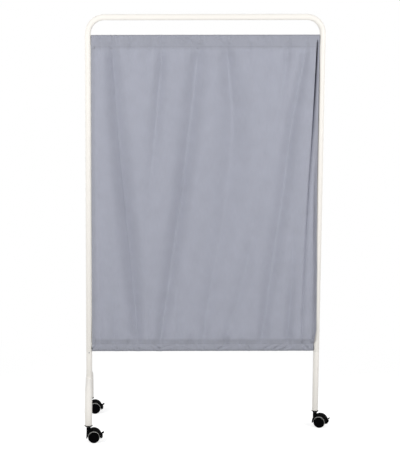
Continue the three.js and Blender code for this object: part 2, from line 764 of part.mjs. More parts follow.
// A tyre: a band with a flat tread beside the web and a rounded shoulder towards the face
function tyre() {
  const inner = WHEEL_INNER_Y;
  const outer = CASTOR_WIDTH / 2 - FACE_THICKNESS - TOUCH_GAP;
  const seat = TYRE_SEAT_RADIUS + TOUCH_GAP;
  const toFlats = 1 / Math.cos(Math.PI / WHEEL_SIDES);
  const tread = WHEEL_RADIUS * toFlats;
  const drop = WHEEL_RADIUS - FACE_RADIUS;
  const profile = [[seat, outer], [seat, inner], [tread - TYRE_LIP, inner], [tread, inner + TYRE_LIP]];
  for (let i = 0; i <= SHOULDER_STEPS; i += 1) {
    const turn = (i * Math.PI) / (2 * SHOULDER_STEPS);
    profile.push([
      tread - drop * (1 - Math.cos(turn)),
      outer - TYRE_SHOULDER * (1 - Math.sin(turn)),
    ]);
  }
  profile.push([seat, outer]);
  return weld(turnedAcross(profile, WHEEL_SIDES));
}

// The brake lever about its pin: a barrel with a flat towards the wheel, and a cranked blade
function brakeLever() {
  const barrel = toSolid(rodAcross(LEVER_BARREL_RADIUS, LEVER_WIDTH, SMALL_SIDES));
  const barrelSpan = 2 * LEVER_BARREL_RADIUS;
  const flatCut = new THREE.BoxGeometry(LEVER_BARREL_RADIUS, LEVER_WIDTH + CUT_OVERRUN, barrelSpan);
  flatCut.translate(-LEVER_FLAT - LEVER_BARREL_RADIUS / 2, 0, 0);
  const outline = BLADE_SHARES.map(([across, up]) => [across * LEVER_TIP_REACH, up * LEVER_TIP_RISE]);
  const blade = plateAcross(outline, LEVER_WIDTH);
  const hole = rodAcross(LEVER_PIN_HOLE, LEVER_WIDTH + CUT_OVERRUN, SMALL_SIDES);
  const solid = barrel.add(toSolid(blade)).subtract(toSolid(flatCut)).subtract(toSolid(hole));
  return toGeometry(solid.translate([LEVER_X, 0, LEVER_Z]));
}

function castorAxle() {
  const geometry = rodAcross(AXLE_RADIUS, AXLE_LENGTH, SMALL_SIDES);
  geometry.translate(CASTOR_TRAIL, 0, WHEEL_RADIUS);
  return weld(geometry);
}

function leverPin() {
  const geometry = rodAcross(LEVER_PIN_RADIUS, EAR_WIDTH, SMALL_SIDES);
  geometry.translate(LEVER_X, 0, LEVER_Z);
  return weld(geometry);
}

function twinWheel(name, side) {
  const wheel = new THREE.Group();
  wheel.add(named(`${name}_core`, wheelCore(), blackPlastic()));
  wheel.add(named(`${name}_tyre`, tyre(), greyTread()));
  wheel.position.set(CASTOR_TRAIL, 0, WHEEL_RADIUS);
  wheel.rotation.z = side < 0 ? Math.PI : 0;
  return wheel;
}

function castor(name, x, y, turnDegrees) {
  const group = new THREE.Group();
  group.add(named(`${name}_stem`, castorStem(), bareSteel()));
  group.add(named(`${name}_hood`, castorHood(), blackPlastic()));
  group.add(named(`${name}_axle`, castorAxle(), bareSteel()));
  group.add(twinWheel(`${name}_near_wheel`, -1));
  group.add(twinWheel(`${name}_far_wheel`, 1));
  group.add(named(`${name}_brake_lever`, brakeLever(), blackPlastic()));
  group.add(named(`${name}_lever_pin`, leverPin(), bareSteel()));
  group.position.set(x, y, 0);
  group.rotation.z = THREE.MathUtils.degToRad(turnDegrees);
  return group;
}

function insertAt(name, x, y, tubeRadius, wall) {
  const mesh = tubeInsert(name, tubeRadius, wall);
  mesh.position.set(x, y, 0);
  return mesh;
}

function frame() {
  const group = new THREE.Group();
  group.add(upperFrame(), leftPostLower(), rightLeg(), footArch());
  group.add(spigot('left_spigot', -1, -1), spigot('right_spigot', 1, 1));
  group.add(locatingPin('left_locating_pin', -1, -1), locatingPin('right_locating_pin', 1, 1));
  group.add(curtainRod('top_rod', TOP_ROD_HEIGHT), curtainRod('bottom_rod', BOTTOM_ROD_HEIGHT));
  for (const [end, side] of [['left', -1], ['right', 1]]) {
    group.add(rodPlug(`top_rod_${end}_plug`, side, TOP_ROD_HEIGHT));
    group.add(rodPlug(`bottom_rod_${end}_plug`, side, BOTTOM_ROD_HEIGHT));
  }
  group.add(insertAt('front_tube_insert', -POST_X, -CASTOR_Y, BOW_TUBE_RADIUS, BOW_TUBE_WALL));
  group.add(insertAt('rear_tube_insert', -POST_X, CASTOR_Y, BOW_TUBE_RADIUS, BOW_TUBE_WALL));
  group.add(insertAt('right_tube_insert', POST_X, 0, TUBE_RADIUS, TUBE_WALL));
  return group;
}

// The whole screen, shifted so that the middle of its bounding box stands over the origin
function screen() {
  const group = new THREE.Group();
  group.add(frame(), curtain());
  group.add(castor('front_castor', -POST_X, -CASTOR_Y, 0));
  group.add(castor('rear_castor', -POST_X, CASTOR_Y, 0));
  group.add(castor('right_castor', POST_X, 0, RIGHT_CASTOR_TURN));
  group.updateMatrixWorld(true);
  const centre = new THREE.Box3().setFromObject(group, true).getCenter(new THREE.Vector3());
  const root = new THREE.Group();
  group.position.set(-centre.x, -centre.y, 0);
  root.add(group);
  return root;
}

export default screen();
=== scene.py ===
"""Ward privacy screen on wheels: its tubes, gathered curtain and castors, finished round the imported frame.

Lengths are in metres, with +Z up and the front towards -Y. The frame's nodes give the places, and the sizes
below give the shapes.
"""

import math

import bmesh
import bpy
from mathutils import Matrix, Vector, noise


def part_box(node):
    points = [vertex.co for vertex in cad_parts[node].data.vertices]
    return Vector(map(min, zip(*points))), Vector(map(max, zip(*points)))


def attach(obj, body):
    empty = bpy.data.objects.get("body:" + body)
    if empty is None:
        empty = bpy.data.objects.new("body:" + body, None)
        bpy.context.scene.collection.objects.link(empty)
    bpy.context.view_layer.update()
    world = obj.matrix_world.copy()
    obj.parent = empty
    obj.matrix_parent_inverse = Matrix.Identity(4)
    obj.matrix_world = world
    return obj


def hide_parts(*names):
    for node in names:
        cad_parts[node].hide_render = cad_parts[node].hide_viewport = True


bl_info = {
    "name": "Ward privacy screen",
    "version": (1, 0, 0),
    "blender": (4, 5, 0),
    "location": "View3D > Sidebar > Ward screen",
    "description": "Finishes the tubes, the gathered curtain and the castors of a ward privacy screen",
    "category": "Object",
}

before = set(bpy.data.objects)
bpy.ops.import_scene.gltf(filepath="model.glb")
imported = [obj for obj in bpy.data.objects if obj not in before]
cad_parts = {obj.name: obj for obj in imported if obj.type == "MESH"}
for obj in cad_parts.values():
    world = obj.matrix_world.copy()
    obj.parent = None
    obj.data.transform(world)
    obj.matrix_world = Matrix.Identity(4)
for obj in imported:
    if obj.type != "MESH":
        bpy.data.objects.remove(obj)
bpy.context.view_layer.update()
MM = 0.001

CASTORS = ("front_castor", "rear_castor", "right_castor")


def middle(node):
    """The middle of a node's box at rest."""
    low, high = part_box(node)
    return (low + high) / 2


# Places that follow from the frame
LEFT_POST = middle("left_spigot")
RIGHT_POST = middle("right_spigot")
BOW_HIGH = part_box("foot_arch")[1]
FRAME_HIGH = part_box("upper_frame")[1]
CURTAIN_LOW, CURTAIN_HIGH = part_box("curtain")
TOP_ROD = middle("top_rod")
BOTTOM_ROD = middle("bottom_rod")

# Tube sizes
TUBE_RADIUS = 12.5 * MM
TUBE_WALL = 1.5 * MM
CORNER_RADIUS = 67.5 * MM
JOINT_HEIGHT = 332 * MM
JOINT_GAP = 0.3 * MM
LEG_END = 71.4 * MM
BOW_RADIUS = 15 * MM
BOW_BEND = 112 * MM
TUBE_SIDES = 48
BEND_STEPS = 14

# Castor sizes, with the stem on the Z axis and the wheels trailing to +X
WHEEL_RADIUS = 25 * MM
TRAIL = 22 * MM
WHEEL_INNER = 7 * MM
WHEEL_OUTER = 25 * MM
HOOD_RADIUS = 33.2 * MM
HOOD_CROWN = 2.4 * MM
HOOD_HALF = 23.5 * MM
HOOD_BACK = Vector((-9.2 * MM, 0, 0))
CAVITY_RADIUS = 27.4 * MM
SKIRT_HEIGHT = 21 * MM
TOWER_RADIUS = 8.8 * MM
TOWER_TOP = 62.6 * MM
LEVER_AT = Vector((51.5 * MM, 0, 26.5 * MM))
LEVER_HALF = 9 * MM
AXLE_AT = Matrix.Translation((TRAIL, 0, WHEEL_RADIUS))

# The studio: a softbox in front to each side, and the camera that was fitted to the photo's straight edges
WHITE = (1, 1, 1, 1)
LAMP_SIZE = (1.6, 1.4)
LAMP_OUT, LAMP_FORWARD, LAMP_HEIGHT = 2.2, 2.05, 1.85
LAMP_AIM = (0, 0, 2.0)
FLOOR_HALF = 6
SHADOW_REACH, WHITE_FROM = 0.9, 1.9
PHOTO_WIDTH, PHOTO_HEIGHT = 400, 457
FOCAL_PIXELS = 1189.64
AXIS_COLUMN = 110.64
SENSOR = 36
CAMERA_AT = (-0.4230, -5.0, 1.5088)
CAMERA_DOWN, CAMERA_ROLL, CAMERA_TURN = 7.34, 0.10, -0.063


# Materials


def linear(hex_colour):
    """A linear colour from an sRGB hex value such as "E8E4DA"."""
    shares = [int(hex_colour[i : i + 2], 16) / 255 for i in (0, 2, 4)]
    return (*[c / 12.92 if c <= 0.04045 else ((c + 0.055) / 1.055) ** 2.4 for c in shares], 1.0)


def toned(colour, factor):
    """A colour made darker or lighter by a factor."""
    return (*[c * factor for c in colour[:3]], 1.0)


def add_node(tree, kind, inputs=None, **settings):
    """A new node with its settings, and its inputs either set to a value or linked to a socket."""
    node = tree.nodes.new(kind)
    for key, value in settings.items():
        setattr(node, key, value)
    for socket, value in (inputs or {}).items():
        if isinstance(value, bpy.types.NodeSocket):
            tree.links.new(value, node.inputs[socket])
        else:
            node.inputs[socket].default_value = value
    return node


def new_material(name, preview):
    """An empty material, whose preview colour shows in the 3D view."""
    material = bpy.data.materials.new(name)
    material.use_nodes = True
    material.diffuse_color = preview
    material.node_tree.nodes.clear()
    return material, material.node_tree


def surface(tree, **inputs):
    """The material's shader and its output."""
    named = {key.replace("_", " "): value for key, value in inputs.items()}
    shader = add_node(tree, "ShaderNodeBsdfPrincipled", named)
    add_node(tree, "ShaderNodeOutputMaterial", {"Surface": shader.outputs[0]})


def tinted(tree, factor, low, high):
    """A colour between low and high, by a factor from 0 to 1."""
    mix = add_node(tree, "ShaderNodeMix", {0: factor, 6: low, 7: high}, data_type="RGBA")
    return mix.outputs[2]


def blend(tree, factor, shader, other):
    """One shader going over to another, by a factor from 0 to 1."""
    return add_node(tree, "ShaderNodeMixShader", {0: factor, 1: shader, 2: other}).outputs[0]


def grain(tree, coordinates, size, detail=2.0, roughness=0.5):
    """Even noise whose features are about size across."""
    return add_node(
        tree,
        "ShaderNodeTexNoise",
        {"Vector": coordinates, "Scale": 1 / size, "Detail": detail, "Roughness": roughness},
    ).outputs[0]


def bump(tree, height, distance, strength=1.0, below=None):
    """Relief as high as distance, laid over the relief below it."""
    inputs = {"Height": height, "Distance": distance, "Strength": strength}
    if below is not None:
        inputs["Normal"] = below
    return add_node(tree, "ShaderNodeBump", inputs).outputs[0]


def powder_coat(name, light, cloudiness):
    """Polyester powder coat on steel tube: satin, with the faint orange peel of the melted powder."""
    material, tree = new_material(name, light)
    place = add_node(tree, "ShaderNodeTexCoord").outputs["Object"]
    cloudy = grain(tree, place, 90 * MM, detail=3)
    colour = tinted(tree, cloudy, toned(light, 1 - cloudiness), light)
    peel = grain(tree, place, 1.6 * MM, detail=1)
    speck = grain(tree, place, 0.35 * MM, detail=1)
    normal = bump(tree, speck, 0.01 * MM, 0.5, bump(tree, peel, 0.03 * MM, 0.6))
    surface(tree, Base_Color=colour, Diffuse_Roughness=0.7, Roughness=0.6, IOR=1.5, Normal=normal)
    return material


def zinc_plate():
    """Bright zinc plate on turned steel: a cool silver with fine turning lines, for all zinc pieces."""
    made = bpy.data.materials.get("zinc_plated_steel")
    if made:
        return made
    material, tree = new_material("zinc_plated_steel", linear("C3C6C8"))
    place = add_node(tree, "ShaderNodeTexCoord").outputs["Object"]
    cloudy = grain(tree, place, 4 * MM, detail=4)
    colour = tinted(tree, cloudy, linear("A9ADB0"), linear("D3D5D6"))
    lines = bump(tree, grain(tree, place, 0.3 * MM, detail=3), 0.01 * MM, 0.6)
    surface(tree, Base_Color=colour, Metallic=1.0, Roughness=0.28, Normal=lines)
    return material


def moulded_plastic(name, dark, light, roughness, grit):
    """Injection-moulded nylon: near black, and its spark-eroded grain scatters what it would reflect."""
    material, tree = new_material(name, linear(dark))
    place = add_node(tree, "ShaderNodeTexCoord").outputs["Object"]
    colour = tinted(tree, grain(tree, place, 12 * MM, detail=4), linear(dark), linear(light))
    texture = bump(tree, grain(tree, place, grit, detail=2), 0.03 * MM, 0.7)
    finish = {"Roughness": roughness, "IOR": 1.53, "Specular_IOR_Level": 0.012}
    surface(tree, Base_Color=colour, Normal=texture, **finish)
    return material


def grey_rubber():
    """Thermoplastic rubber tread: matt mid grey, a little dusty where it runs on the floor."""
    material, tree = new_material("grey_rubber_tread", linear("C4C4C0"))
    place = add_node(tree, "ShaderNodeTexCoord").outputs["Object"]
    dust = grain(tree, place, 6 * MM, detail=5)
    colour = tinted(tree, dust, linear("B8B8B4"), linear("CECECA"))
    texture = bump(tree, grain(tree, place, 0.5 * MM, detail=2), 0.04 * MM, 0.8)
    surface(tree, Base_Color=colour, Roughness=0.72, IOR=1.5, Normal=texture)
    return material


def stitch_rows(tree, flat, seams, pitch):
    """A factor that is 1 on the stitches: one short dash to each pitch along every seam."""
    thread_half, dash_half_share = 0.5 * MM, 0.36

    def worked(operation, *values):
        return add_node(tree, "ShaderNodeMath", dict(enumerate(values)), operation=operation).outputs[0]

    along, across = add_node(tree, "ShaderNodeSeparateXYZ", {0: flat}).outputs[:2]
    dash = worked("COMPARE", worked("FRACT", worked("DIVIDE", along, pitch)), 0.5, dash_half_share)
    rows = 0.0
    for seam in seams:
        rows = worked("MAXIMUM", worked("COMPARE", across, seam, thread_half), rows)
    return worked("MULTIPLY", rows, dash)


def woven_cloth(settings, seams):
    """Plain-woven polyester and cotton: matt, with a soft sheen, slubs and a thread pattern.

    A single layer lets some light through from behind, so the doubled hems look darker.
    The real threads are about 0.4 mm apart. They are drawn 1 mm apart, so that they show.
    """
    material, tree = new_material("woven_blue_grey_cloth", settings.cloth_colour)
    flat = add_node(tree, "ShaderNodeUVMap", uv_map="cloth").outputs[0]
    waves_to_unit = 3.2
    wave = {
        "Vector": flat,
        "Scale": 1 / (settings.thread_pitch * waves_to_unit),
        "Distortion": 1.2,
        "Detail": 2.0,
        "Detail Scale": 1.5,
    }
    threads = {}
    for k, direction in enumerate("XY"):
        threads[k] = add_node(tree, "ShaderNodeTexWave", wave, bands_direction=direction).outputs[1]
    weave = add_node(tree, "ShaderNodeMath", threads, operation="MULTIPLY").outputs[0]
    stretched = add_node(tree, "ShaderNodeMapping", {"Vector": flat, "Scale": (1.0, 0.08, 1.0)})
    slub = grain(tree, stretched.outputs[0], 2.5 * MM, detail=3)
    cloud = grain(tree, flat, 60 * MM, detail=4)
    dyed = tinted(tree, cloud, toned(settings.cloth_colour, 0.94), toned(settings.cloth_colour, 1.05))
    for pattern, share in ((weave, 0.10), (slub, 0.08)):
        layers = {0: share, 6: dyed, 7: pattern}
        dyed = add_node(tree, "ShaderNodeMix", layers, data_type="RGBA", blend_type="OVERLAY").outputs[2]
    stitches = stitch_rows(tree, flat, seams, settings.stitch_pitch)
    sewn = tinted(tree, stitches, dyed, linear("A2A4AE"))
    creases = add_node(tree, "ShaderNodeMapping", {"Vector": flat, "Scale": (1.0, 0.35, 1.0)})
    crease = grain(tree, creases.outputs[0], 18 * MM, detail=4, roughness=0.6)
    normal = bump(tree, weave, 0.06 * MM, 0.5, bump(tree, crease, 1.2 * MM, 0.35))
    normal = bump(tree, stitches, 0.2 * MM, 0.6, normal)
    front = add_node(
        tree,
        "ShaderNodeBsdfPrincipled",
        {
            "Base Color": sewn,
            "Roughness": 0.9,
            "IOR": 1.45,
            "Sheen Weight": 0.2,
            "Sheen Roughness": 0.5,
            "Normal": normal,
        },
    )
    through = add_node(tree, "ShaderNodeBsdfTranslucent", {"Color": sewn, "Normal": normal})
    cloth = blend(tree, settings.see_through, front.outputs[0], through.outputs[0])
    add_node(tree, "ShaderNodeOutputMaterial", {"Surface": cloth})
    return material


# Mesh helpers


def placed(name, data):
    """A new object in the scene."""
    made = bpy.data.objects.new(name, data)
    bpy.context.scene.collection.objects.link(made)
    return made


def mesh_object(name, bm):
    """A new object in the scene with this mesh, at the origin."""
    mesh = bpy.data.meshes.new(name)
    bm.to_mesh(mesh)
    bm.free()
    return placed(name, mesh)


def finish_piece(name, bm, material, body, replaced=(), crease=35.0):
    """A mesh made into a piece that rides on its body."""
    piece = mesh_object(name, bm)
    piece.data.materials.append(material)
    piece.data.shade_smooth()
    piece.data.set_sharp_from_angle(angle=math.radians(crease))
    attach(piece, body)
    if replaced:
        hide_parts(*replaced)
    return piece


def solid_wall(piece, thickness, offset=-1.0, even=True):
    """Gives an open skin its thickness, to its inside unless offset says otherwise."""
    wall = piece.modifiers.new("wall", "SOLIDIFY")
    wall.thickness = thickness
    wall.offset = offset
    wall.use_even_offset = even


def soft_edges(piece, width, angle=40.0):
    """Rounds every edge that turns by more than angle."""
    edges = piece.modifiers.new("soft_edges", "BEVEL")
    edges.width = width
    edges.segments = 2
    edges.limit_method = "ANGLE"
    edges.angle_limit = math.radians(angle)


def new_ring(bm, radius, foot):
    """The ring of edges that a tube starts from."""
    lift = Matrix.Translation(foot)
    made = bmesh.ops.create_circle(bm, segments=TUBE_SIDES, radius=radius, matrix=lift)
    verts = set(made["verts"])
    return [e for e in bm.edges if e.verts[0] in verts and e.verts[1] in verts]


def run_on(bm, ring, offset):
    """The tube goes straight on from its last ring of edges."""
    made = bmesh.ops.extrude_edge_only(bm, edges=ring)["geom"]
    verts = {v for v in made if isinstance(v, bmesh.types.BMVert)}
    bmesh.ops.translate(bm, verts=list(verts), vec=offset)
    return [e for e in made if isinstance(e, bmesh.types.BMEdge) and set(e.verts) <= verts]


def bend_on(bm, ring, centre, axis, angle):
    """The tube goes round a bend from its last ring of edges."""
    made = bmesh.ops.spin(
        bm,
        geom=ring + list(dict.fromkeys(v for e in ring for v in e.verts)),
        cent=centre,
        axis=axis,
        angle=angle,
        steps=BEND_STEPS,
    )["geom_last"]
    return [e for e in made if isinstance(e, bmesh.types.BMEdge)]


def face_outwards(bm, foot):
    """The faces of a tube that goes up from its foot, pointed away from the line inside it."""
    bmesh.ops.recalc_face_normals(bm, faces=bm.faces)
    bm.faces.ensure_lookup_table()
    away = bm.faces[0].calc_center_median() - foot
    away.z = 0
    if bm.faces[0].normal.dot(away) < 0:
        bmesh.ops.reverse_faces(bm, faces=bm.faces)


def turned(profile, sides, matrix=None):
    """A shape turned about the Z axis from a profile of radius and height, on the axis or closed."""
    bm = bmesh.new()
    verts = [bm.verts.new((r, 0, z)) for r, z in profile]
    edges = [bm.edges.new(pair) for pair in zip(verts, verts[1:])]
    if profile[0][0] > 0 and profile[-1][0] > 0:
        edges.append(bm.edges.new((verts[-1], verts[0])))
    full_turn = {"cent": (0, 0, 0), "axis": (0, 0, 1), "angle": 2 * math.pi, "steps": sides}
    bmesh.ops.spin(bm, geom=verts + edges, use_merge=True, **full_turn)
    bmesh.ops.remove_doubles(bm, verts=bm.verts, dist=1e-6)
    bmesh.ops.recalc_face_normals(bm, faces=bm.faces)
    bmesh.ops.transform(bm, matrix=matrix or Matrix(), verts=bm.verts)
    return bm


def eased(points, size, steps=3, closed=False):
    """An outline whose corners are rounded by about size."""
    count = len(points)
    smooth = []
    for i, (a, b) in enumerate(points):
        here = Vector((a, b))
        if not closed and i in (0, count - 1):
            smooth.append((a, b))
            continue
        before, after = Vector(points[i - 1]), Vector(points[(i + 1) % count])
        cut_back = min(size, (before - here).length / 2, (after - here).length / 2)
        start = here + (before - here).normalized() * cut_back
        end = here + (after - here).normalized() * cut_back
        for k in range(steps + 1):
            share = k / steps
            point = start * (1 - share) ** 2 + here * (2 * share * (1 - share)) + end * share**2
            smooth.append(tuple(point))
    return smooth


def facing(side):
    """A turn of the Z axis to +Y for side 1, or to -Y for side -1."""
    return Matrix.Rotation(-side * math.pi / 2, 4, "X")


def drum(radius, low, high, sides, matrix=None, rounding=0.0, steps=3):
    """A solid cylinder between two heights on the Z axis, with its rims rounded."""
    outline = [(0, low), (radius, low), (radius, high), (0, high)]
    return turned(eased(outline, rounding, steps) if rounding else outline, sides, matrix)


def put_in_order(bm):
    """Puts the mesh's parts in order along a slanted line, as a carving gives another order each run."""
    slant = Vector((1, math.sqrt(2), math.sqrt(3)))
    bm.verts.sort(key=lambda vert: vert.co.dot(slant))
    bm.edges.sort(key=lambda edge: sum(v.co.dot(slant) for v in edge.verts))
    bm.faces.sort(key=lambda face: face.calc_center_median().dot(slant))
    for parts in (bm.verts, bm.edges, bm.faces):
        parts.index_update()


def carved(host, tools):
    """The host mesh joined with or cut by other meshes, each given with UNION or DIFFERENCE."""
    objects = [mesh_object("carving", bm) for bm in [host, *[tool for _, tool in tools]]]
    for (operation, _), tool in zip(tools, objects[1:]):
        step = objects[0].modifiers.new(operation.lower(), "BOOLEAN")
        step.operation = operation
        step.solver = "EXACT"
        step.object = tool
    ready = objects[0].evaluated_get(bpy.context.evaluated_depsgraph_get())
    result = bmesh.new()
    result.from_mesh(ready.to_mesh())
    ready.to_mesh_clear()
    for obj in objects:
        mesh = obj.data
        bpy.data.objects.remove(obj)
        bpy.data.meshes.remove(mesh)
    put_in_order(result)
    bmesh.ops.remove_doubles(result, verts=result.verts, dist=0.01 * MM)
    bmesh.ops.dissolve_degenerate(result, edges=result.edges, dist=0.01 * MM)
    return result


# Tubes


def arch_tube(across, half_width, foot, top, radius, corner, centre):
    """An upside-down U of tube. It spans along across, and its legs stand half_width from the centre."""
    bm = bmesh.new()
    up = Vector((0, 0, 1))
    turn = across.cross(up)
    bend_height = top - radius - corner
    half_straight = half_width - corner
    left = centre - across * half_width
    ring = new_ring(bm, radius, (left.x, left.y, foot))
    ring = run_on(bm, ring, up * (bend_height - foot))
    for side, onwards in ((-1, across * 2 * half_straight), (1, -up * (bend_height - foot))):
        inner = centre + across * side * half_straight
        ring = bend_on(bm, ring, (inner.x, inner.y, bend_height), turn, -math.pi / 2)
        ring = run_on(bm, ring, onwards)
    face_outwards(bm, left)
    return bm


def straight_tube(low, high, x):
    """An upright tube of the frame."""
    bm = bmesh.new()
    foot = Vector((x, 0, low))
    run_on(bm, new_ring(bm, TUBE_RADIUS, foot), Vector((0, 0, high - low)))
    face_outwards(bm, foot)
    return bm


def saddle(x, axis_height, radius):
    """The height at which a post that stands on the bow meets it, x away from the post's axis."""
    return axis_height + math.sqrt(max(radius**2 - x**2, 0))


def coped_post():
    """The left lower post, its foot cut to the bow's round."""
    axis_height = BOW_HIGH.z - BOW_RADIUS
    bm = straight_tube(BOW_HIGH.z, JOINT_HEIGHT, LEFT_POST.x)
    for vert in bm.verts:
        if vert.co.z < BOW_HIGH.z + MM:
            vert.co.z = saddle(vert.co.x - LEFT_POST.x, axis_height, BOW_RADIUS + JOINT_GAP)
    return bm


def weld_bead():
    """The fillet weld round the foot of the left post, with the ripple of its passes, under the coat."""
    bead, stand_off = 2.2 * MM, 0.6 * MM
    ripples, ripple_share, wander_share = 28, 0.18, 0.12
    around = [k * math.pi / 5 for k in range(10)]
    bm = turned([(TUBE_RADIUS + bead * math.cos(a), bead * math.sin(a)) for a in around], 96)
    axis_height = BOW_HIGH.z - BOW_RADIUS
    for vert in bm.verts:
        angle = math.atan2(vert.co.y, vert.co.x)
        reach = math.hypot(vert.co.x, vert.co.y)
        wander = noise.noise(Vector((3 * angle, 7, 0)))
        swell = 1 + ripple_share * math.cos(ripples * angle) + wander_share * wander
        reach = TUBE_RADIUS + (reach - TUBE_RADIUS) * swell
        x = reach * math.cos(angle)
        seat = saddle(min(abs(x), TUBE_RADIUS), axis_height, BOW_RADIUS + stand_off)
        vert.co = (x + LEFT_POST.x, reach * math.sin(angle), vert.co.z * swell + seat)
    return bm


def pin_head(at, side):
    """The low dome of a locating pin on its neck, standing out of the tube."""
    dome, rise, neck, sunk = 2.6 * MM, 1.0 * MM, 2 * MM, 1.5 * MM
    profile = [(0, -sunk), (neck, -sunk), (neck, 0), (dome, 0)]
    profile += [(dome * math.cos(a), rise * math.sin(a)) for a in [k * math.pi / 10 for k in range(1, 5)]]
    profile.append((0, rise))
    return turned(profile, 24, Matrix.Translation(at) @ facing(side))


class ScreenTubeSettings(bpy.types.PropertyGroup):
    coat_colour: bpy.props.FloatVectorProperty(
        name="Coat",
        description="Colour of the powder coat",
        subtype="COLOR",
        size=4,
        min=0,
        max=1,
        default=linear("F1EEE9"),
    )
    cloudiness: bpy.props.FloatProperty(
        name="Cloudiness",
        description="How much darker the thin patches of the coat are",
        default=0.047,
        min=0,
        max=0.5,
        subtype="FACTOR",
    )
    edge_width: bpy.props.FloatProperty(
        name="Tube end softness",
        description="Rounding of the tubes' cut ends",
        default=0.45 * MM,
        min=0,
        max=1 * MM,
        unit="LENGTH",
        precision=5,
    )


class SCREEN_OT_frame_tubes(bpy.types.Operator):
    """Builds the coated tubes of the frame, the weld and the locating pins"""

    bl_idname = "screen.frame_tubes"
    bl_label = "Frame tubes"

    def execute(self, context):
        settings = context.scene.screen_tubes
        coat = powder_coat("powder_coated_steel", settings.coat_colour, settings.cloudiness)
        half_width = (RIGHT_POST.x - LEFT_POST.x) / 2
        centre = Vector(((RIGHT_POST.x + LEFT_POST.x) / 2, 0, 0))
        upper = arch_tube(
            Vector((1, 0, 0)),
            half_width,
            JOINT_HEIGHT + JOINT_GAP,
            FRAME_HIGH.z,
            TUBE_RADIUS,
            CORNER_RADIUS,
            centre,
        )
        bow = arch_tube(
            Vector((0, 1, 0)),
            BOW_HIGH.y - BOW_RADIUS,
            LEG_END,
            BOW_HIGH.z,
            BOW_RADIUS,
            BOW_BEND,
            Vector((LEFT_POST.x, 0, 0)),
        )
        leg = straight_tube(LEG_END, JOINT_HEIGHT, RIGHT_POST.x)
        for name, bm, node in (
            ("upper_frame_tube", upper, "upper_frame"),
            ("foot_bow_tube", bow, "foot_arch"),
            ("right_leg_tube", leg, "right_leg"),
            ("left_post_tube", coped_post(), "left_post_lower"),
        ):
            piece = finish_piece(name, bm, coat, "frame", [node])
            solid_wall(piece, TUBE_WALL)
            soft_edges(piece, settings.edge_width, angle=60)
        finish_piece("post_weld", weld_bead(), coat, "frame", crease=80)
        zinc = zinc_plate()
        for post, node, side in (
            (LEFT_POST, "left_locating_pin", -1),
            (RIGHT_POST, "right_locating_pin", 1),
        ):
            at = Vector((post.x, side * (TUBE_RADIUS + JOINT_GAP), middle(node).z))
            finish_piece(f"{node}_head", pin_head(at, side), zinc, "frame", [node])
        return {"FINISHED"}


class SCREEN_OT_hidden_fittings(bpy.types.Operator):
    """Gives the rods, their plugs, the spigots, the axles and the lever pins their finishes"""

    bl_idname = "screen.hidden_fittings"
    bl_label = "Rods and small fittings"

    def execute(self, context):
        rod_coat = powder_coat("coated_rod", linear("DEDAD0"), 0.11)
        zinc = zinc_plate()
        plug = moulded_plastic("moulded_plug", "131314", "1B1B1D", 0.5, 0.4 * MM)
        finishes = {"rod": rod_coat, "plug": plug, "spigot": zinc, "axle": zinc, "pin": zinc}
        for name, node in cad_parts.items():
            kind = name.rsplit("_", 1)[-1]
            if kind in finishes:
                node.data.materials.clear()
                node.data.materials.append(finishes[kind])
        return {"FINISHED"}


# Curtain

# The folds, from left to right. A row is the share of the width where a fold's valley lies, how deep it is
# and how far its flanks reach to each side in millimetres, all at five even heights from the top seam to
# the bottom one.
FOLDS = [
    ((0.024, 0.024, 0.026, 0.030, 0.033), (3, 0, 0, 7, 9), (30, 30, 40, 46, 46)),
    ((0.090, 0.116, 0.146, 0.179, 0.207), (27, 36, 41, 36, 23), (54, 80, 82, 78, 52)),
    ((0.100, 0.100, 0.100, 0.100, 0.100), (0, 0, 0, 0, 9), (40, 40, 40, 40, 38)),
    ((0.313, 0.287, 0.256, 0.250, 0.250), (19, 20, 6, 0, 0), (48, 62, 56, 50, 50)),
    ((0.251, 0.251, 0.251, 0.251, 0.251), (0, 0, 0, 1, 5), (24, 24, 24, 28, 26)),
    ((0.472, 0.438, 0.399, 0.355, 0.307), (28, 35, 35, 28, 18), (74, 96, 76, 76, 46)),
    ((0.389, 0.389, 0.389, 0.389, 0.389), (0, 0, 0, 0, 7), (40, 40, 40, 40, 40)),
    ((0.595, 0.625, 0.602, 0.548, 0.498), (23, 34, 33, 20, 15), (60, 130, 160, 100, 48)),
    ((0.778, 0.775, 0.742, 0.690, 0.598), (7, 2, 6, 12, 10), (50, 60, 60, 66, 46)),
    ((0.866, 0.825, 0.800, 0.780, 0.760), (15, 4, 0, 0, 0), (46, 46, 40, 40, 40)),
    ((0.946, 0.890, 0.852, 0.808, 0.764), (14, 26, 26, 24, 20), (40, 66, 76, 72, 50)),
    ((0.905, 0.900, 0.900, 0.899, 0.884), (0, 0, 0, 10, 19), (40, 40, 40, 40, 44)),
    ((0.992, 0.992, 0.990, 0.993, 0.993), (0, 0, 7, 10, 7), (12, 12, 10, 10, 10)),
]
# Short gathers that run out of a seam: the share of the width, how deep, how far to each side and how long,
# in millimetres. The first rows hang from the top seam and the others stand on the bottom one.
TOP_GATHERS = [(0.040, 4, 18, 60), (0.173, 7, 28, 80), (0.248, 6, 26, 60), (0.697, 7, 26, 80)]
BOTTOM_GATHERS = [(0.165, 4, 20, 50), (0.442, 6, 28, 70), (0.607, 6, 28, 70), (0.672, 5, 24, 60)]
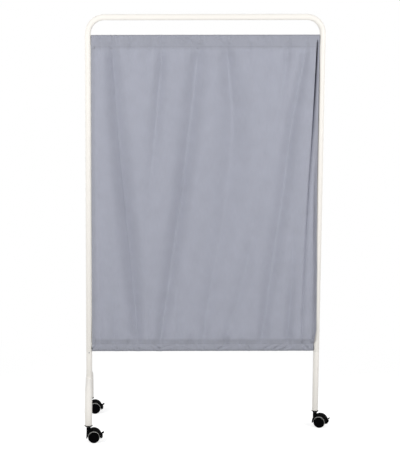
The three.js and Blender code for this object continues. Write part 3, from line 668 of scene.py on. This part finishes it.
# Creases pressed into the pockets. Each runs between two points, a point being its share of the width and
# how many millimetres it lies past the seam, and the last number is how deep it is in millimetres.
TOP_CREASES = [
    (0.036, 44, 0.042, 28, 2.5),
    (0.095, 44, 0.098, 0, 3.2),
    (0.119, 44, 0.125, 24, 2.2),
    (0.165, 44, 0.171, 28, 2.4),
    (0.252, 40, 0.256, 24, 1.8),
    (0.301, 40, 0.304, 0, 2.8),
    (0.374, 40, 0.409, 19, 2.6),
    (0.409, 40, 0.440, 19, 2.2),
    (0.438, 19, 0.448, 0, 2.4),
    (0.475, 46, 0.477, 24, 2.4),
    (0.549, 40, 0.579, 7, 2.8),
    (0.606, 42, 0.614, 26, 2.8),
    (0.680, 36, 0.693, 11, 1.6),
    (0.756, 32, 0.761, 15, 1.8),
    (0.787, 34, 0.791, 19, 1.8),
    (0.868, 28, 0.868, 0, 2.0),
    (0.942, 36, 0.942, 0, 2.0),
]
BOTTOM_CREASES = [
    (0.005, 22, 0.025, 1, 3.8),
    (0.096, 0, 0.111, 22, 3.2),
    (0.150, 20, 0.158, 2, 2.2),
    (0.189, 0, 0.209, 22, 4.4),
    (0.276, 0, 0.302, 24, 5.0),
    (0.305, 20, 0.376, 0, 3.0),
    (0.416, 0, 0.438, 6, 2.8),
    (0.491, 1, 0.505, 26, 2.8),
    (0.571, 24, 0.616, 0, 4.2),
    (0.696, 1, 0.709, 22, 2.6),
    (0.780, 22, 0.816, 1, 3.4),
    (0.824, 22, 0.860, 1, 3.4),
    (0.864, 24, 0.900, 3, 3.4),
    (0.953, 0, 0.971, 18, 4.2),
]
CREASE_WIDTH = 4.5 * MM
# How far the cloth swells forward just above the bottom seam, where it settles on the pocket: it is at its
# fullest one length above the seam, and gone at the other
SETTLE = 6 * MM
SETTLE_FULL, SETTLE_END = 20 * MM, 150 * MM
# How far the cloth between the folds stands forward of its seams, and how far in from a side edge it does
FOLD_FORWARD = 2 * MM
FORWARD_REACH = 30 * MM
# How blunt the line at the bottom of a fold's valley is, as a share of its reach
VALLEY_ROUND_SHARE = 0.06
# How far from a seam the folds reach their full depth, and the share of it that they have at the seam
SEAM_GROWTH = 40 * MM
SEAM_DEPTH_SHARE = 0.4
# Small gathers: how deep they are, then their seed, size, lean and length for their size
TOP_PUCKERS = (1.5 * MM, (3.0, 22 * MM, 0.0, 6))
BOTTOM_PUCKERS = (1.3 * MM, (9.0, 20 * MM, 0.3, 4))
BROAD_PUCKERS = (1.2 * MM, (5.0, 110 * MM, 0.0, 5))
TOP_PUCKERED, BOTTOM_PUCKERED = 160 * MM, 110 * MM

# The deep valley beside the right post, behind the edge of the last fold. Its flanks widen as it goes down.
LAST_PATH = (0.9905, 0.978, 0.962, 0.952, 0.946)
LAST_DEPTHS = (50, 16, 10, 7, 6)
LAST_LEFT_FLANKS = (2.0, 2.5, 4, 5, 6)
LAST_RIGHT_FLANKS = (3.2, 6, 9, 10, 12)

# The cloth, its seams, and the hems that are turned in behind the pockets and at the sides
CLOTH = 0.7 * MM
FULLNESS = 1.12
TOP_SEAM = 1626 * MM
BOTTOM_SEAM = 367 * MM
TOP_HEM = 8 * MM
BOTTOM_HEM = 20 * MM
HEM_BACK = 1.0 * MM
SIDE_HEM = 15 * MM
WIDTH = CURTAIN_HIGH.x - CURTAIN_LOW.x
PANEL = TOP_SEAM - BOTTOM_SEAM
# A pocket's inner radius, the slack below the bottom rod, and how far each pocket's layers stand off them
POCKET_RADIUS = 6.9 * MM
POCKET_SLACK = 3 * MM
TOP_PUFF, BOTTOM_PUFF, PUFF_SWELL = 2.6, 3.4, 1.1

# The grid's columns: even ones, closer ones in the last share of the width, and those of the side hems
EVEN_COLUMNS = 275
EDGE_COLUMNS = 40
EDGE_SHARE = 0.065
HEM_COLUMNS = 3
# The right edge laps over the post and stands forward of it: how far, and the share of it at each height
EDGE_LAP = 9 * MM
EDGE_FORWARD = 8.6 * MM
EDGE_WIDTH_SHARE = 0.025
EDGE_HEIGHT_SHARES = (0, 0.012, 0.05, 0.12, 0.22, 0.4, 0.55, 0.9, 1)
EDGE_LAP_SHARES = (0, 0.05, 1, 0.95, 0.78, 0.3, 0.05, 0, 0)
EDGE_FORWARD_SHARES = (0, 1, 1, 1, 1, 0.8, 0.6, 0.5, 0)


def eased_step(share):
    """A smooth rise from 0 to 1 as share goes from 0 to 1."""
    share = min(max(share, 0.0), 1.0)
    return share * share * (3 - 2 * share)


def between(value, places, amounts):
    """The amount at value, from a table of rising places, eased between them."""
    if value <= places[0]:
        return amounts[0]
    for k in range(len(places) - 1):
        if value <= places[k + 1]:
            share = (value - places[k]) / max(places[k + 1] - places[k], 1e-9)
            return amounts[k] + (amounts[k + 1] - amounts[k]) * eased_step(share)
    return amounts[-1]


def smooth_through(values, share):
    """The height at share, from 0 to 1, of a smooth curve through evenly spaced values."""
    place = min(max(share, 0.0), 1.0) * (len(values) - 1)
    k = min(int(place), len(values) - 2)
    t = place - k
    low, high = values[k], values[k + 1]
    before = values[k - 1] if k else 2 * low - high
    after = values[k + 2] if k + 2 < len(values) else 2 * high - low
    leave, arrive = (high - before) / 2, (after - low) / 2
    turn = 2 * (low - high) + leave + arrive
    return low + leave * t + (3 * (high - low) - 2 * leave - arrive) * t**2 + turn * t**3


def valley(distance, reach):
    """A fold's valley, 1 deep at its line: its flanks are steepest there and ease out at reach."""
    along = math.hypot(distance / reach, VALLEY_ROUND_SHARE) - VALLEY_ROUND_SHARE
    if along >= 1:
        return 0.0
    return 1 - along - math.sin(math.pi * along) / math.pi


def section_stretches():
    """The cloth's way from its top hem over the top rod and round the bottom rod to its bottom hem.

    Each stretch has its name, its length and its rows of the grid.
    """
    top_side = TOP_ROD.z - TOP_SEAM
    bottom_side = BOTTOM_SEAM - BOTTOM_ROD.z
    half_round = math.pi * POCKET_RADIUS
    return [
        ("hem_top", TOP_HEM, 2),
        ("rear_top", top_side, 8),
        ("over", half_round, 10),
        ("front_top", top_side, 18),
        ("panel", PANEL, 80),
        ("front_bottom", bottom_side, 16),
        ("under", half_round, 10),
        ("rear_bottom", bottom_side, 6),
        ("hem_bottom", BOTTOM_HEM, 4),
    ]


def seam_runs():
    """How far along the flat cloth the two seams lie, at the ends of the panel."""
    runs = []
    run = 0.0
    for stretch, length, _ in section_stretches():
        if stretch in ("panel", "front_bottom"):
            runs.append(run)
        run += length
    return runs


def section_point(stretch, share):
    """Y, Z, the outward Y, the outward Z, and how loose the cloth is there, on the cloth's flat section."""
    r = POCKET_RADIUS
    if stretch == "hem_top":
        return HEM_BACK - r, TOP_SEAM - TOP_HEM * (1 - share), 1, 0, 0
    if stretch == "hem_bottom":
        return HEM_BACK - r, BOTTOM_SEAM + BOTTOM_HEM * share, 1, 0, 0
    if stretch in ("over", "under"):
        angle = share * math.pi
        up = 1 if stretch == "over" else -1
        rod = TOP_ROD if up > 0 else BOTTOM_ROD
        along, rise = math.cos(angle) * up, math.sin(angle)
        if up > 0:
            return r * along, rod.z + r * rise, along, rise, 1
        # The bottom pocket hangs straight down from its rod, and turns only near its lowest line
        flat = math.copysign(1 - rise**6, along)
        return r * flat, rod.z - (r + POCKET_SLACK) * rise, along, -rise, 1
    if stretch == "panel":
        return -r, TOP_SEAM - share * PANEL, -1, 0, 0
    seam_share = share if stretch in ("front_top", "rear_bottom") else 1 - share
    to_seam = eased_step(seam_share)
    side = -1 if stretch.startswith("front") else 1
    y = r * (1 - to_seam) + (HEM_BACK - r) * to_seam if side > 0 else -r
    top = stretch.endswith("top")
    rod, seam = (TOP_ROD.z, TOP_SEAM) if top else (BOTTOM_ROD.z, BOTTOM_SEAM)
    z = rod + (seam - rod) * seam_share
    return y, z, side, 0, 1 - to_seam


def pucker(x, z, seed, size, slant, stretch):
    """Small gathers about size across and stretch times as long, leaning by slant."""
    point = Vector(((x + slant * z) / size, z / (size * stretch), seed))
    return noise.noise(point) + 0.5 * noise.noise(point * 2.1)


def folded(x_share, share):
    """How far back the folds take the cloth, at a share of its width and of the panel's height."""
    from_side = min(x_share, 1 - x_share) * WIDTH
    depth = -FOLD_FORWARD * eased_step(from_side / FORWARD_REACH)
    for path, depths, reaches in FOLDS:
        distance = (x_share - smooth_through(path, share)) * WIDTH
        depth += smooth_through(depths, share) * MM * valley(distance, smooth_through(reaches, share) * MM)
    return depth


def last_valley(x_share, share):
    """How far back the deep valley beside the right post goes."""
    distance = (x_share - smooth_through(LAST_PATH, share)) * WIDTH
    flank = smooth_through(LAST_LEFT_FLANKS if distance < 0 else LAST_RIGHT_FLANKS, share) * MM
    return smooth_through(LAST_DEPTHS, share) * MM * valley(distance, 2 * flank)


def gathered(x_share, x, below_top, above_bottom):
    """How far back the gathers take the cloth, from its distances to the top seam and the bottom one."""
    z = BOTTOM_SEAM + above_bottom
    puckers = (
        (TOP_PUCKERS, eased_step(1 - below_top / TOP_PUCKERED)),
        (BOTTOM_PUCKERS, eased_step(1 - above_bottom / BOTTOM_PUCKERED)),
        (BROAD_PUCKERS, 1),
    )
    depth = sum(deep * pucker(x, z, *form) * near for (deep, form), near in puckers)
    settled = eased_step(above_bottom / SETTLE_FULL) * (1 - eased_step(above_bottom / SETTLE_END))
    depth -= SETTLE * settled * (1 + pucker(x, 0, 12.0, 60 * MM, 0.0, 4))
    for from_seam, rows in ((below_top, TOP_GATHERS), (above_bottom, BOTTOM_GATHERS)):
        for place, deep, reach, long in rows:
            fade = eased_step(1 - from_seam / (long * MM))
            depth += deep * MM * fade * valley((x_share - place) * WIDTH, reach * MM)
    return depth


def cloth_depth(x_share, x, z):
    """How far back the cloth stands between its seams, from the folds and the gathers."""
    below_top, above_bottom = TOP_SEAM - z, z - BOTTOM_SEAM
    share = below_top / PANEL
    to_seam = min(below_top, 2 * above_bottom)
    grown = SEAM_DEPTH_SHARE + (1 - SEAM_DEPTH_SHARE) * eased_step(to_seam / SEAM_GROWTH)
    depth = folded(x_share, share) * grown + last_valley(x_share, share)
    return depth + gathered(x_share, x, below_top, above_bottom)


def pressed(x_share, past_seam, creases):
    """How far the creases press a pocket's layer in, with a low swell along each side of a crease."""
    swell_share, swell_at = 0.6, 2.3
    off = 0.0
    for start, start_past, end, end_past, deep in creases:
        run_x, run_z = (end - start) * WIDTH, (end_past - start_past) * MM
        away_x, away_z = (x_share - start) * WIDTH, past_seam - start_past * MM
        along = (away_x * run_x + away_z * run_z) / (run_x**2 + run_z**2)
        along = min(max(along, 0.0), 1.0)
        away = math.hypot(away_x - along * run_x, away_z - along * run_z) / CREASE_WIDTH
        off += deep * MM * (swell_share * math.exp(-((away - swell_at) ** 2)) - math.exp(-(away**2)))
    return off


def puff(x_share, x, z, loose, upright):
    """How far a pocket's layer stands off its plain line: soft swells and creases, less along its crest."""
    if loose <= 0:
        return 0.0
    if z > BOTTOM_SEAM + PANEL / 2:
        rise, creases, past_seam, seed = TOP_PUFF, TOP_CREASES, z - TOP_SEAM, 20
    else:
        rise, creases, past_seam, seed = BOTTOM_PUFF, BOTTOM_CREASES, BOTTOM_SEAM - z, 40
    lean = 0.9 * noise.noise(Vector((x / (45 * MM), seed, 0)))
    swell = PUFF_SWELL * pucker(x, z, 1.0, 16 * MM, lean, 2.5)
    off = (rise + swell) * MM + pressed(x_share, past_seam, creases)
    return max(0.0, off) * math.sqrt(loose) * (1 - 0.8 * abs(upright))


def curtain_columns():
    """Each column's share across the flat cloth, and whether it belongs to a side hem's turned strip."""
    strip = [SIDE_HEM / WIDTH * (1 - k / HEM_COLUMNS) for k in range(HEM_COLUMNS)]
    even = [(1 - EDGE_SHARE) * k / EVEN_COLUMNS for k in range(EVEN_COLUMNS)]
    fine = [1 - EDGE_SHARE * (1 - k / EDGE_COLUMNS) for k in range(EDGE_COLUMNS + 1)]
    left = [(share, True) for share in strip]
    right = [(1 - share, True) for share in reversed(strip)]
    return left + [(share, False) for share in even + fine] + right


def cloth_point(x_share, turned_in, stretch, share):
    """A point of the curtain. A side hem's strip lies just inside the layer that it is sewn to."""
    y, z, out_y, out_z, loose = section_point(stretch, share)
    left, right = CURTAIN_LOW.x + CLOTH, CURTAIN_HIGH.x - EDGE_LAP - CLOTH
    x = left + x_share * (right - left)
    if stretch in ("panel", "hem_top", "hem_bottom"):
        y += cloth_depth(x_share, x, z)
        near_edge = eased_step((x_share - 1 + EDGE_WIDTH_SHARE) / EDGE_WIDTH_SHARE)
        height_share = (z - BOTTOM_SEAM) / PANEL
        x += EDGE_LAP * near_edge * between(height_share, EDGE_HEIGHT_SHARES, EDGE_LAP_SHARES)
        y -= EDGE_FORWARD * near_edge * between(height_share, EDGE_HEIGHT_SHARES, EDGE_FORWARD_SHARES)
    else:
        off = puff(x_share, x, z, loose, out_z)
        seam = TOP_SEAM if z > BOTTOM_SEAM + PANEL / 2 else BOTTOM_SEAM
        y += off * out_y + cloth_depth(x_share, x, seam) * (1 - loose) ** 2
        z += off * out_z
    if turned_in:
        y -= out_y * 2 * CLOTH
        z -= out_z * 2 * CLOTH
    return Vector((x, y, z))


class ScreenCurtainSettings(bpy.types.PropertyGroup):
    cloth_colour: bpy.props.FloatVectorProperty(
        name="Cloth",
        description="Colour of the curtain's cloth",
        subtype="COLOR",
        size=4,
        min=0,
        max=1,
        default=linear("BDBFC9"),
    )
    see_through: bpy.props.FloatProperty(
        name="See-through",
        description="Share of the light that passes through one layer of the cloth",
        default=0.42,
        min=0,
        max=1,
        subtype="FACTOR",
    )
    thread_pitch: bpy.props.FloatProperty(
        name="Thread pitch",
        description="Distance between the drawn threads",
        default=1.0 * MM,
        min=0.2 * MM,
        max=5 * MM,
        unit="LENGTH",
        precision=5,
    )
    stitch_pitch: bpy.props.FloatProperty(
        name="Stitch pitch",
        description="Distance from one stitch of a seam to the next",
        default=4 * MM,
        min=1 * MM,
        max=20 * MM,
        unit="LENGTH",
        precision=5,
    )


def curtain_rows():
    """The stretch of each row of the grid, its share of that stretch and its place along the flat cloth."""
    stretches = section_stretches()
    rows = []
    run = 0.0
    for name, length, steps in stretches:
        rows += [(name, k / steps, run + length * k / steps) for k in range(steps)]
        run += length
    return [*rows, (stretches[-1][0], 1.0, run)]


def curtain_mesh():
    """The sheet with its pockets as one grid, with the width and the length of the flat cloth."""
    rows, columns = curtain_rows(), curtain_columns()
    bm = bmesh.new()
    layer = bm.loops.layers.uv.new("cloth")
    bmesh.ops.create_grid(bm, x_segments=len(columns) - 1, y_segments=len(rows) - 1, size=0.5)
    flat_width = WIDTH * FULLNESS
    on_flat = {}
    for vert in bm.verts:
        column = round((vert.co.x + 0.5) * (len(columns) - 1))
        row = round((vert.co.y + 0.5) * (len(rows) - 1))
        share, turned_in = columns[column]
        on_flat[vert] = (share * flat_width, rows[row][2])
        vert.co = cloth_point(share, turned_in, *rows[row][:2])
    for face in bm.faces:
        for loop in face.loops:
            loop[layer].uv = on_flat[loop.vert]
    return bm, flat_width, rows[-1][2]


class SCREEN_OT_curtain(bpy.types.Operator):
    """Builds the gathered curtain with its rod pockets"""

    bl_idname = "screen.curtain"
    bl_label = "Curtain"

    def execute(self, context):
        bm, flat_width, length = curtain_mesh()
        cloth = woven_cloth(context.scene.screen_curtain, seam_runs())
        piece = finish_piece("curtain_cloth", bm, cloth, "frame", ["curtain"], crease=180)
        solid_wall(piece, CLOTH, 0.0, even=False)
        return {"FINISHED"}


# Castors


def castor_place(castor):
    """The matrix from a castor's own drawing to where it stands."""
    stem, axle = middle(f"{castor}_stem"), middle(f"{castor}_axle")
    turn = math.atan2(axle.y - stem.y, axle.x - stem.x)
    return Matrix.Translation((stem.x, stem.y, 0)) @ Matrix.Rotation(turn, 4, "Z")


def hood_band():
    """The hood's crowned block about the axle, cut off along the skirt and flush at the tower's back."""
    steps = [HOOD_HALF * (k / 8 - 1) for k in range(17)]
    crown = [(HOOD_RADIUS - HOOD_CROWN * (y / HOOD_HALF) ** 2, y) for y in steps]
    outline = eased([(0, -HOOD_HALF), *crown, (0, HOOD_HALF)], 0.8 * MM, 2)
    bm = turned(outline, 96, AXLE_AT @ facing(1))
    for place, outwards in ((Vector((0, 0, SKIRT_HEIGHT)), (0, 0, -1)), (HOOD_BACK, (-1, 0, 0))):
        everything = [*bm.verts, *bm.edges, *bm.faces]
        cut = bmesh.ops.bisect_plane(
            bm, geom=everything, dist=1e-7, plane_co=place, plane_no=outwards, clear_outer=True
        )["geom_cut"]
        bmesh.ops.edgeloop_fill(bm, edges=[e for e in cut if isinstance(e, bmesh.types.BMEdge)])
    return bm


def lever_slot():
    """The room in the hood for the lever's blade, from its barrel outwards."""
    length, width, height = 18 * MM, 2 * LEVER_HALF + 0.6 * MM, 22 * MM
    past_barrel = 7.5 * MM
    slot = bmesh.new()
    bmesh.ops.create_cube(slot, size=1)
    bmesh.ops.scale(slot, vec=(length, width, height), verts=slot.verts)
    bmesh.ops.translate(slot, vec=LEVER_AT + Vector((past_barrel, 0, height / 2)), verts=slot.verts)
    return slot


def castor_hood():
    """The band with its stem tower and lever ears, hollowed for the wheels, the lever and the stem."""
    tower_foot, web_half, past_hood = SKIRT_HEIGHT + 2 * MM, 5.5 * MM, 30 * MM
    ear_radius, ear_half = 7.5 * MM, 14 * MM
    barrel_room, barrel_half = 4.6 * MM, LEVER_HALF + 0.4 * MM
    bore_radius, bore_foot, bore_top = 4.3 * MM, 40 * MM, 65 * MM
    across_lever = Matrix.Translation(LEVER_AT) @ facing(1)
    cavities = [
        ("DIFFERENCE", drum(CAVITY_RADIUS, web_half, past_hood, 96, AXLE_AT @ facing(side)))
        for side in (-1, 1)
    ]
    return carved(
        hood_band(),
        [
            ("UNION", drum(TOWER_RADIUS, tower_foot, TOWER_TOP, 48, rounding=0.8 * MM)),
            ("UNION", drum(ear_radius, -ear_half, ear_half, 48, across_lever, 1.0 * MM)),
            *cavities,
            ("DIFFERENCE", drum(barrel_room, -barrel_half, barrel_half, 48, across_lever)),
            ("DIFFERENCE", lever_slot()),
            ("DIFFERENCE", drum(bore_radius, bore_foot, bore_top, 32)),
        ],
    )


def wheel_core(side):
    """A wheel core with a dished face, a raised rim and a hub cap."""
    rim, seat, hub = 23.4 * MM, 19 * MM, 7.2 * MM
    outline = [
        (0, WHEEL_INNER),
        (seat, WHEEL_INNER),
        (seat, WHEEL_OUTER - 1.4 * MM),
        (rim, WHEEL_OUTER - 1.4 * MM),
        (rim, WHEEL_OUTER),
        (rim - 2.2 * MM, WHEEL_OUTER),
        (rim - 3.0 * MM, WHEEL_OUTER - 0.9 * MM),
        (hub + 1.0 * MM, WHEEL_OUTER - 1.3 * MM),
        (hub, WHEEL_OUTER - 0.2 * MM),
        (0, WHEEL_OUTER),
    ]
    return turned(eased(outline, 0.5 * MM, 2), 72, facing(side))


def tyre(side):
    """A tread band, flat beside the web and rounded towards the face."""
    seat, drop, flat_to, rounded = 19.3 * MM, 2.6 * MM, 14.8 * MM, 8.5 * MM
    outline = [(seat, flat_to + rounded), (seat, WHEEL_INNER), (WHEEL_RADIUS, WHEEL_INNER)]
    for angle in [k * math.pi / 16 for k in range(9)]:
        outline.append((WHEEL_RADIUS - drop * (1 - math.cos(angle)), flat_to + rounded * math.sin(angle)))
    return turned(outline, 96, facing(side))


def brake_lever():
    """The cranked lever on its barrel."""
    reach, rise = 12 * MM, 16.5 * MM
    edge_shares = [(0.11, 0), (0.22, 0.45), (0.4, 0.64), (1, 0.84), (1.06, 0.92)]
    back_shares = [(0.9, 1), (0.2, 0.72), (0, 0.5), (-0.06, 0)]
    outline = [(x * reach, z * rise) for x, z in edge_shares + back_shares]
    blade = bmesh.new()
    face = blade.faces.new(
        [blade.verts.new((x, -LEVER_HALF, z)) for x, z in eased(outline, 1.0 * MM, 3, closed=True)]
    )
    made = bmesh.ops.extrude_face_region(blade, geom=[face])["geom"]
    moved = [v for v in made if isinstance(v, bmesh.types.BMVert)]
    bmesh.ops.translate(blade, verts=moved, vec=(0, 2 * LEVER_HALF, 0))
    bmesh.ops.recalc_face_normals(blade, faces=blade.faces)
    barrel = drum(3.9 * MM, -LEVER_HALF, LEVER_HALF, 40, facing(1), 0.5 * MM, 2)
    bm = carved(blade, [("UNION", barrel)])
    bmesh.ops.translate(bm, vec=LEVER_AT, verts=bm.verts)
    return bm


def castor_stem():
    """The zinc-plated stem: its shoulder shows between the hood and the tube insert."""
    foot, top = 42 * MM, 90 * MM
    shoulder, shoulder_foot, shoulder_top = 6.5 * MM, 62.9 * MM, 64.0 * MM
    below, above = 4 * MM, 4.8 * MM
    outline = [
        (0, foot),
        (below, foot),
        (below, shoulder_foot),
        (shoulder, shoulder_foot),
        (shoulder, shoulder_top),
        (above, shoulder_top),
        (above, top),
        (0, top),
    ]
    return turned(eased(outline, 0.3 * MM, 2), 40)


def tube_insert(radius):
    """The moulded insert that closes a tube end: a rounded flange and a neck under it."""
    top, bottom = LEG_END - JOINT_GAP, 64.2 * MM
    bore, neck, rim, plug = 5.1 * MM, 8.6 * MM, radius + 2.0 * MM, radius - 1.8 * MM
    inside = top + 20 * MM
    outline = [
        (bore, bottom),
        (neck, bottom),
        (rim - 2 * MM, top - 4 * MM),
        (rim, top - 3 * MM),
        (rim, top),
        (plug, top),
        (plug, inside),
        (bore, inside),
    ]
    return turned(eased(outline, 0.6 * MM, 2, closed=True), 48)


class ScreenCastorSettings(bpy.types.PropertyGroup):
    edge_width: bpy.props.FloatProperty(
        name="Edge softness",
        description="Rounding of the moulded hood's edges",
        default=0.5 * MM,
        min=0,
        max=2 * MM,
        unit="LENGTH",
        precision=5,
    )


class SCREEN_OT_castors(bpy.types.Operator):
    """Builds the three twin-wheel castors with their stems, hoods, wheels and brake levers"""

    bl_idname = "screen.castors"
    bl_label = "Castors"

    def execute(self, context):
        settings = context.scene.screen_castors
        nylon = moulded_plastic("moulded_nylon", "070708", "0C0C0D", 0.5, 0.5 * MM)
        face = moulded_plastic("moulded_wheel", "050506", "08080A", 0.55, 0.4 * MM)
        rubber = grey_rubber()
        zinc = zinc_plate()
        for castor in CASTORS:
            place = castor_place(castor)
            hub = place @ AXLE_AT
            parts = [
                ("hood", castor_hood(), place, nylon, castor, "black_plastic"),
                ("brake_lever", brake_lever(), place, nylon, f"{castor}_brake_lever", "black_plastic"),
                ("stem", castor_stem(), place, zinc, "frame", "bare_steel"),
            ]
            for side, wheel in ((-1, "near_wheel"), (1, "far_wheel")):
                body = f"{castor}_{wheel}"
                parts.append((f"{wheel}_core", wheel_core(side), hub, face, body, "black_plastic"))
                parts.append((f"{wheel}_tyre", tyre(side), hub, rubber, body, "tread"))
            for part, bm, matrix, material, body, slot in parts:
                bmesh.ops.transform(bm, matrix=matrix, verts=bm.verts)
                node = f"{castor}_{part}"
                piece = finish_piece(f"{castor}_smooth_{part}", bm, material, body, [node])
                if part in ("hood", "brake_lever"):
                    soft_edges(piece, settings.edge_width)
        for castor, radius in zip(CASTORS, (BOW_RADIUS, BOW_RADIUS, TUBE_RADIUS)):
            node = castor.replace("castor", "tube_insert")
            bm = tube_insert(radius)
            bmesh.ops.transform(bm, matrix=castor_place(castor), verts=bm.verts)
            finish_piece(f"{node}_cap", bm, nylon, "frame", [node])
        return {"FINISHED"}


# Stage


class ScreenStageSettings(bpy.types.PropertyGroup):
    key_power: bpy.props.FloatProperty(
        name="Key power",
        description="Power of each of the two large side lamps",
        default=57.0,
        min=0,
        unit="POWER",
    )
    room_light: bpy.props.FloatProperty(
        name="Room light",
        description="Strength of the even light from all round",
        default=0.4,
        min=0,
        max=2,
    )


def seen_directly(tree):
    """1 for what is seen straight or through the cloth, and 0 for what only lights or is mirrored."""
    path = add_node(tree, "ShaderNodeLightPath")
    ways = {0: path.outputs["Is Camera Ray"], 1: path.outputs["Is Transmission Ray"]}
    return add_node(tree, "ShaderNodeMath", ways, operation="MAXIMUM").outputs[0]


def pale_floor():
    """White studio paper: pure white to the eye far out, with the object's faint shadow near it.

    Near the object it is lit and glows a little, so that only what the object shades is below white.
    """
    material, tree = new_material("studio_floor", WHITE)
    paper = add_node(tree, "ShaderNodeBsdfDiffuse", {"Color": linear("D0D0CE")}).outputs[0]
    lit = add_node(tree, "ShaderNodeBsdfDiffuse", {"Color": (0.7, 0.7, 0.7, 1)}).outputs[0]
    glow = add_node(tree, "ShaderNodeEmission", {"Color": WHITE, "Strength": 0.62}).outputs[0]
    near = add_node(tree, "ShaderNodeAddShader", {0: lit, 1: glow}).outputs[0]
    far = add_node(tree, "ShaderNodeEmission", {"Color": WHITE, "Strength": 1.0}).outputs[0]
    place = add_node(tree, "ShaderNodeTexCoord").outputs["Object"]
    away = add_node(tree, "ShaderNodeVectorMath", {0: place}, operation="LENGTH").outputs["Value"]
    fade = {"Value": away, "From Min": SHADOW_REACH, "From Max": WHITE_FROM}
    outwards = add_node(tree, "ShaderNodeMapRange", fade, interpolation_type="SMOOTHSTEP").outputs[0]
    look = blend(tree, seen_directly(tree), paper, blend(tree, outwards, near, far))
    add_node(tree, "ShaderNodeOutputMaterial", {"Surface": look})
    return material


def studio_world(strength):
    """A white backdrop to the eye, which lights the object as dimly as the room does."""
    world = bpy.data.worlds.new("studio")
    bpy.context.scene.world = world
    world.use_nodes = True
    tree = world.node_tree
    tree.nodes.clear()
    dim, white = [
        add_node(tree, "ShaderNodeBackground", {"Color": WHITE, "Strength": light}).outputs[0]
        for light in (strength, 1.0)
    ]
    add_node(tree, "ShaderNodeOutputWorld", {"Surface": blend(tree, seen_directly(tree), dim, white)})


def studio_floor():
    """The floor's sheet of paper."""
    bm = bmesh.new()
    bmesh.ops.create_grid(bm, x_segments=8, y_segments=8, size=FLOOR_HALF)
    floor = mesh_object("studio_floor", bm)
    floor.data.materials.append(pale_floor())


def side_softbox(side, power):
    """A large soft lamp in front of the object, on its left for side -1 or its right for side 1."""
    lamp = bpy.data.lights.new("side_softbox", "AREA")
    lamp.energy = power
    lamp.shape = "RECTANGLE"
    lamp.size, lamp.size_y = LAMP_SIZE
    softbox = placed("side_softbox", lamp)
    softbox.location = (side * LAMP_OUT, -LAMP_FORWARD, LAMP_HEIGHT)
    softbox.rotation_euler = (Vector(LAMP_AIM) - softbox.location).to_track_quat("-Z", "Y").to_euler()


def photo_camera():
    """The camera that took the photo, as fitted to its straight edges."""
    lens = bpy.data.cameras.new("camera")
    lens.sensor_width = SENSOR
    lens.lens = FOCAL_PIXELS * SENSOR / PHOTO_HEIGHT
    lens.shift_x = (PHOTO_WIDTH / 2 - AXIS_COLUMN) / PHOTO_HEIGHT
    lens.clip_start, lens.clip_end = 0.05, 60
    camera = placed("camera", lens)
    camera.location = CAMERA_AT
    camera.rotation_euler = [math.radians(a) for a in (90 - CAMERA_DOWN, CAMERA_ROLL, CAMERA_TURN)]
    bpy.context.scene.camera = camera


class SCREEN_OT_stage(bpy.types.Operator):
    """Sets the pale floor, the soft studio light and the camera"""

    bl_idname = "screen.stage"
    bl_label = "Stage"

    def execute(self, context):
        settings = context.scene.screen_stage
        studio_floor()
        studio_world(settings.room_light)
        for side in (-1, 1):
            side_softbox(side, settings.key_power)
        photo_camera()
        context.scene.view_settings.view_transform = "Standard"
        return {"FINISHED"}


# Panel and registration


class SCREEN_PT_build(bpy.types.Panel):
    """Lists the steps that build the screen, with their sizes and colours"""

    bl_idname = "SCREEN_PT_build"
    bl_label = "Ward privacy screen"
    bl_space_type = "VIEW_3D"
    bl_region_type = "UI"
    bl_category = "Ward screen"

    def draw(self, context):
        layout = self.layout
        for name in ("screen_tubes", "screen_curtain", "screen_castors", "screen_stage"):
            settings = getattr(context.scene, name)
            box = layout.box()
            for prop in settings.bl_rna.properties:
                if prop.identifier not in ("rna_type", "name"):
                    box.prop(settings, prop.identifier)
        for step in STEPS:
            layout.operator(step.bl_idname)


STEPS = (
    SCREEN_OT_stage,
    SCREEN_OT_frame_tubes,
    SCREEN_OT_hidden_fittings,
    SCREEN_OT_castors,
    SCREEN_OT_curtain,
)
GROUPS = {
    "screen_tubes": ScreenTubeSettings,
    "screen_curtain": ScreenCurtainSettings,
    "screen_castors": ScreenCastorSettings,
    "screen_stage": ScreenStageSettings,
}


def register():
    for group in GROUPS.values():
        bpy.utils.register_class(group)
    for name, group in GROUPS.items():
        setattr(bpy.types.Scene, name, bpy.props.PointerProperty(type=group))
    for step in STEPS:
        bpy.utils.register_class(step)
    bpy.utils.register_class(SCREEN_PT_build)


def unregister():
    bpy.utils.unregister_class(SCREEN_PT_build)
    for step in reversed(STEPS):
        bpy.utils.unregister_class(step)
    for name, group in GROUPS.items():
        delattr(bpy.types.Scene, name)
        bpy.utils.unregister_class(group)


def main():
    register()
    for step in STEPS:
        category, name = step.bl_idname.split(".")
        getattr(getattr(bpy.ops, category), name)()


if __name__ == "__main__":
    main()
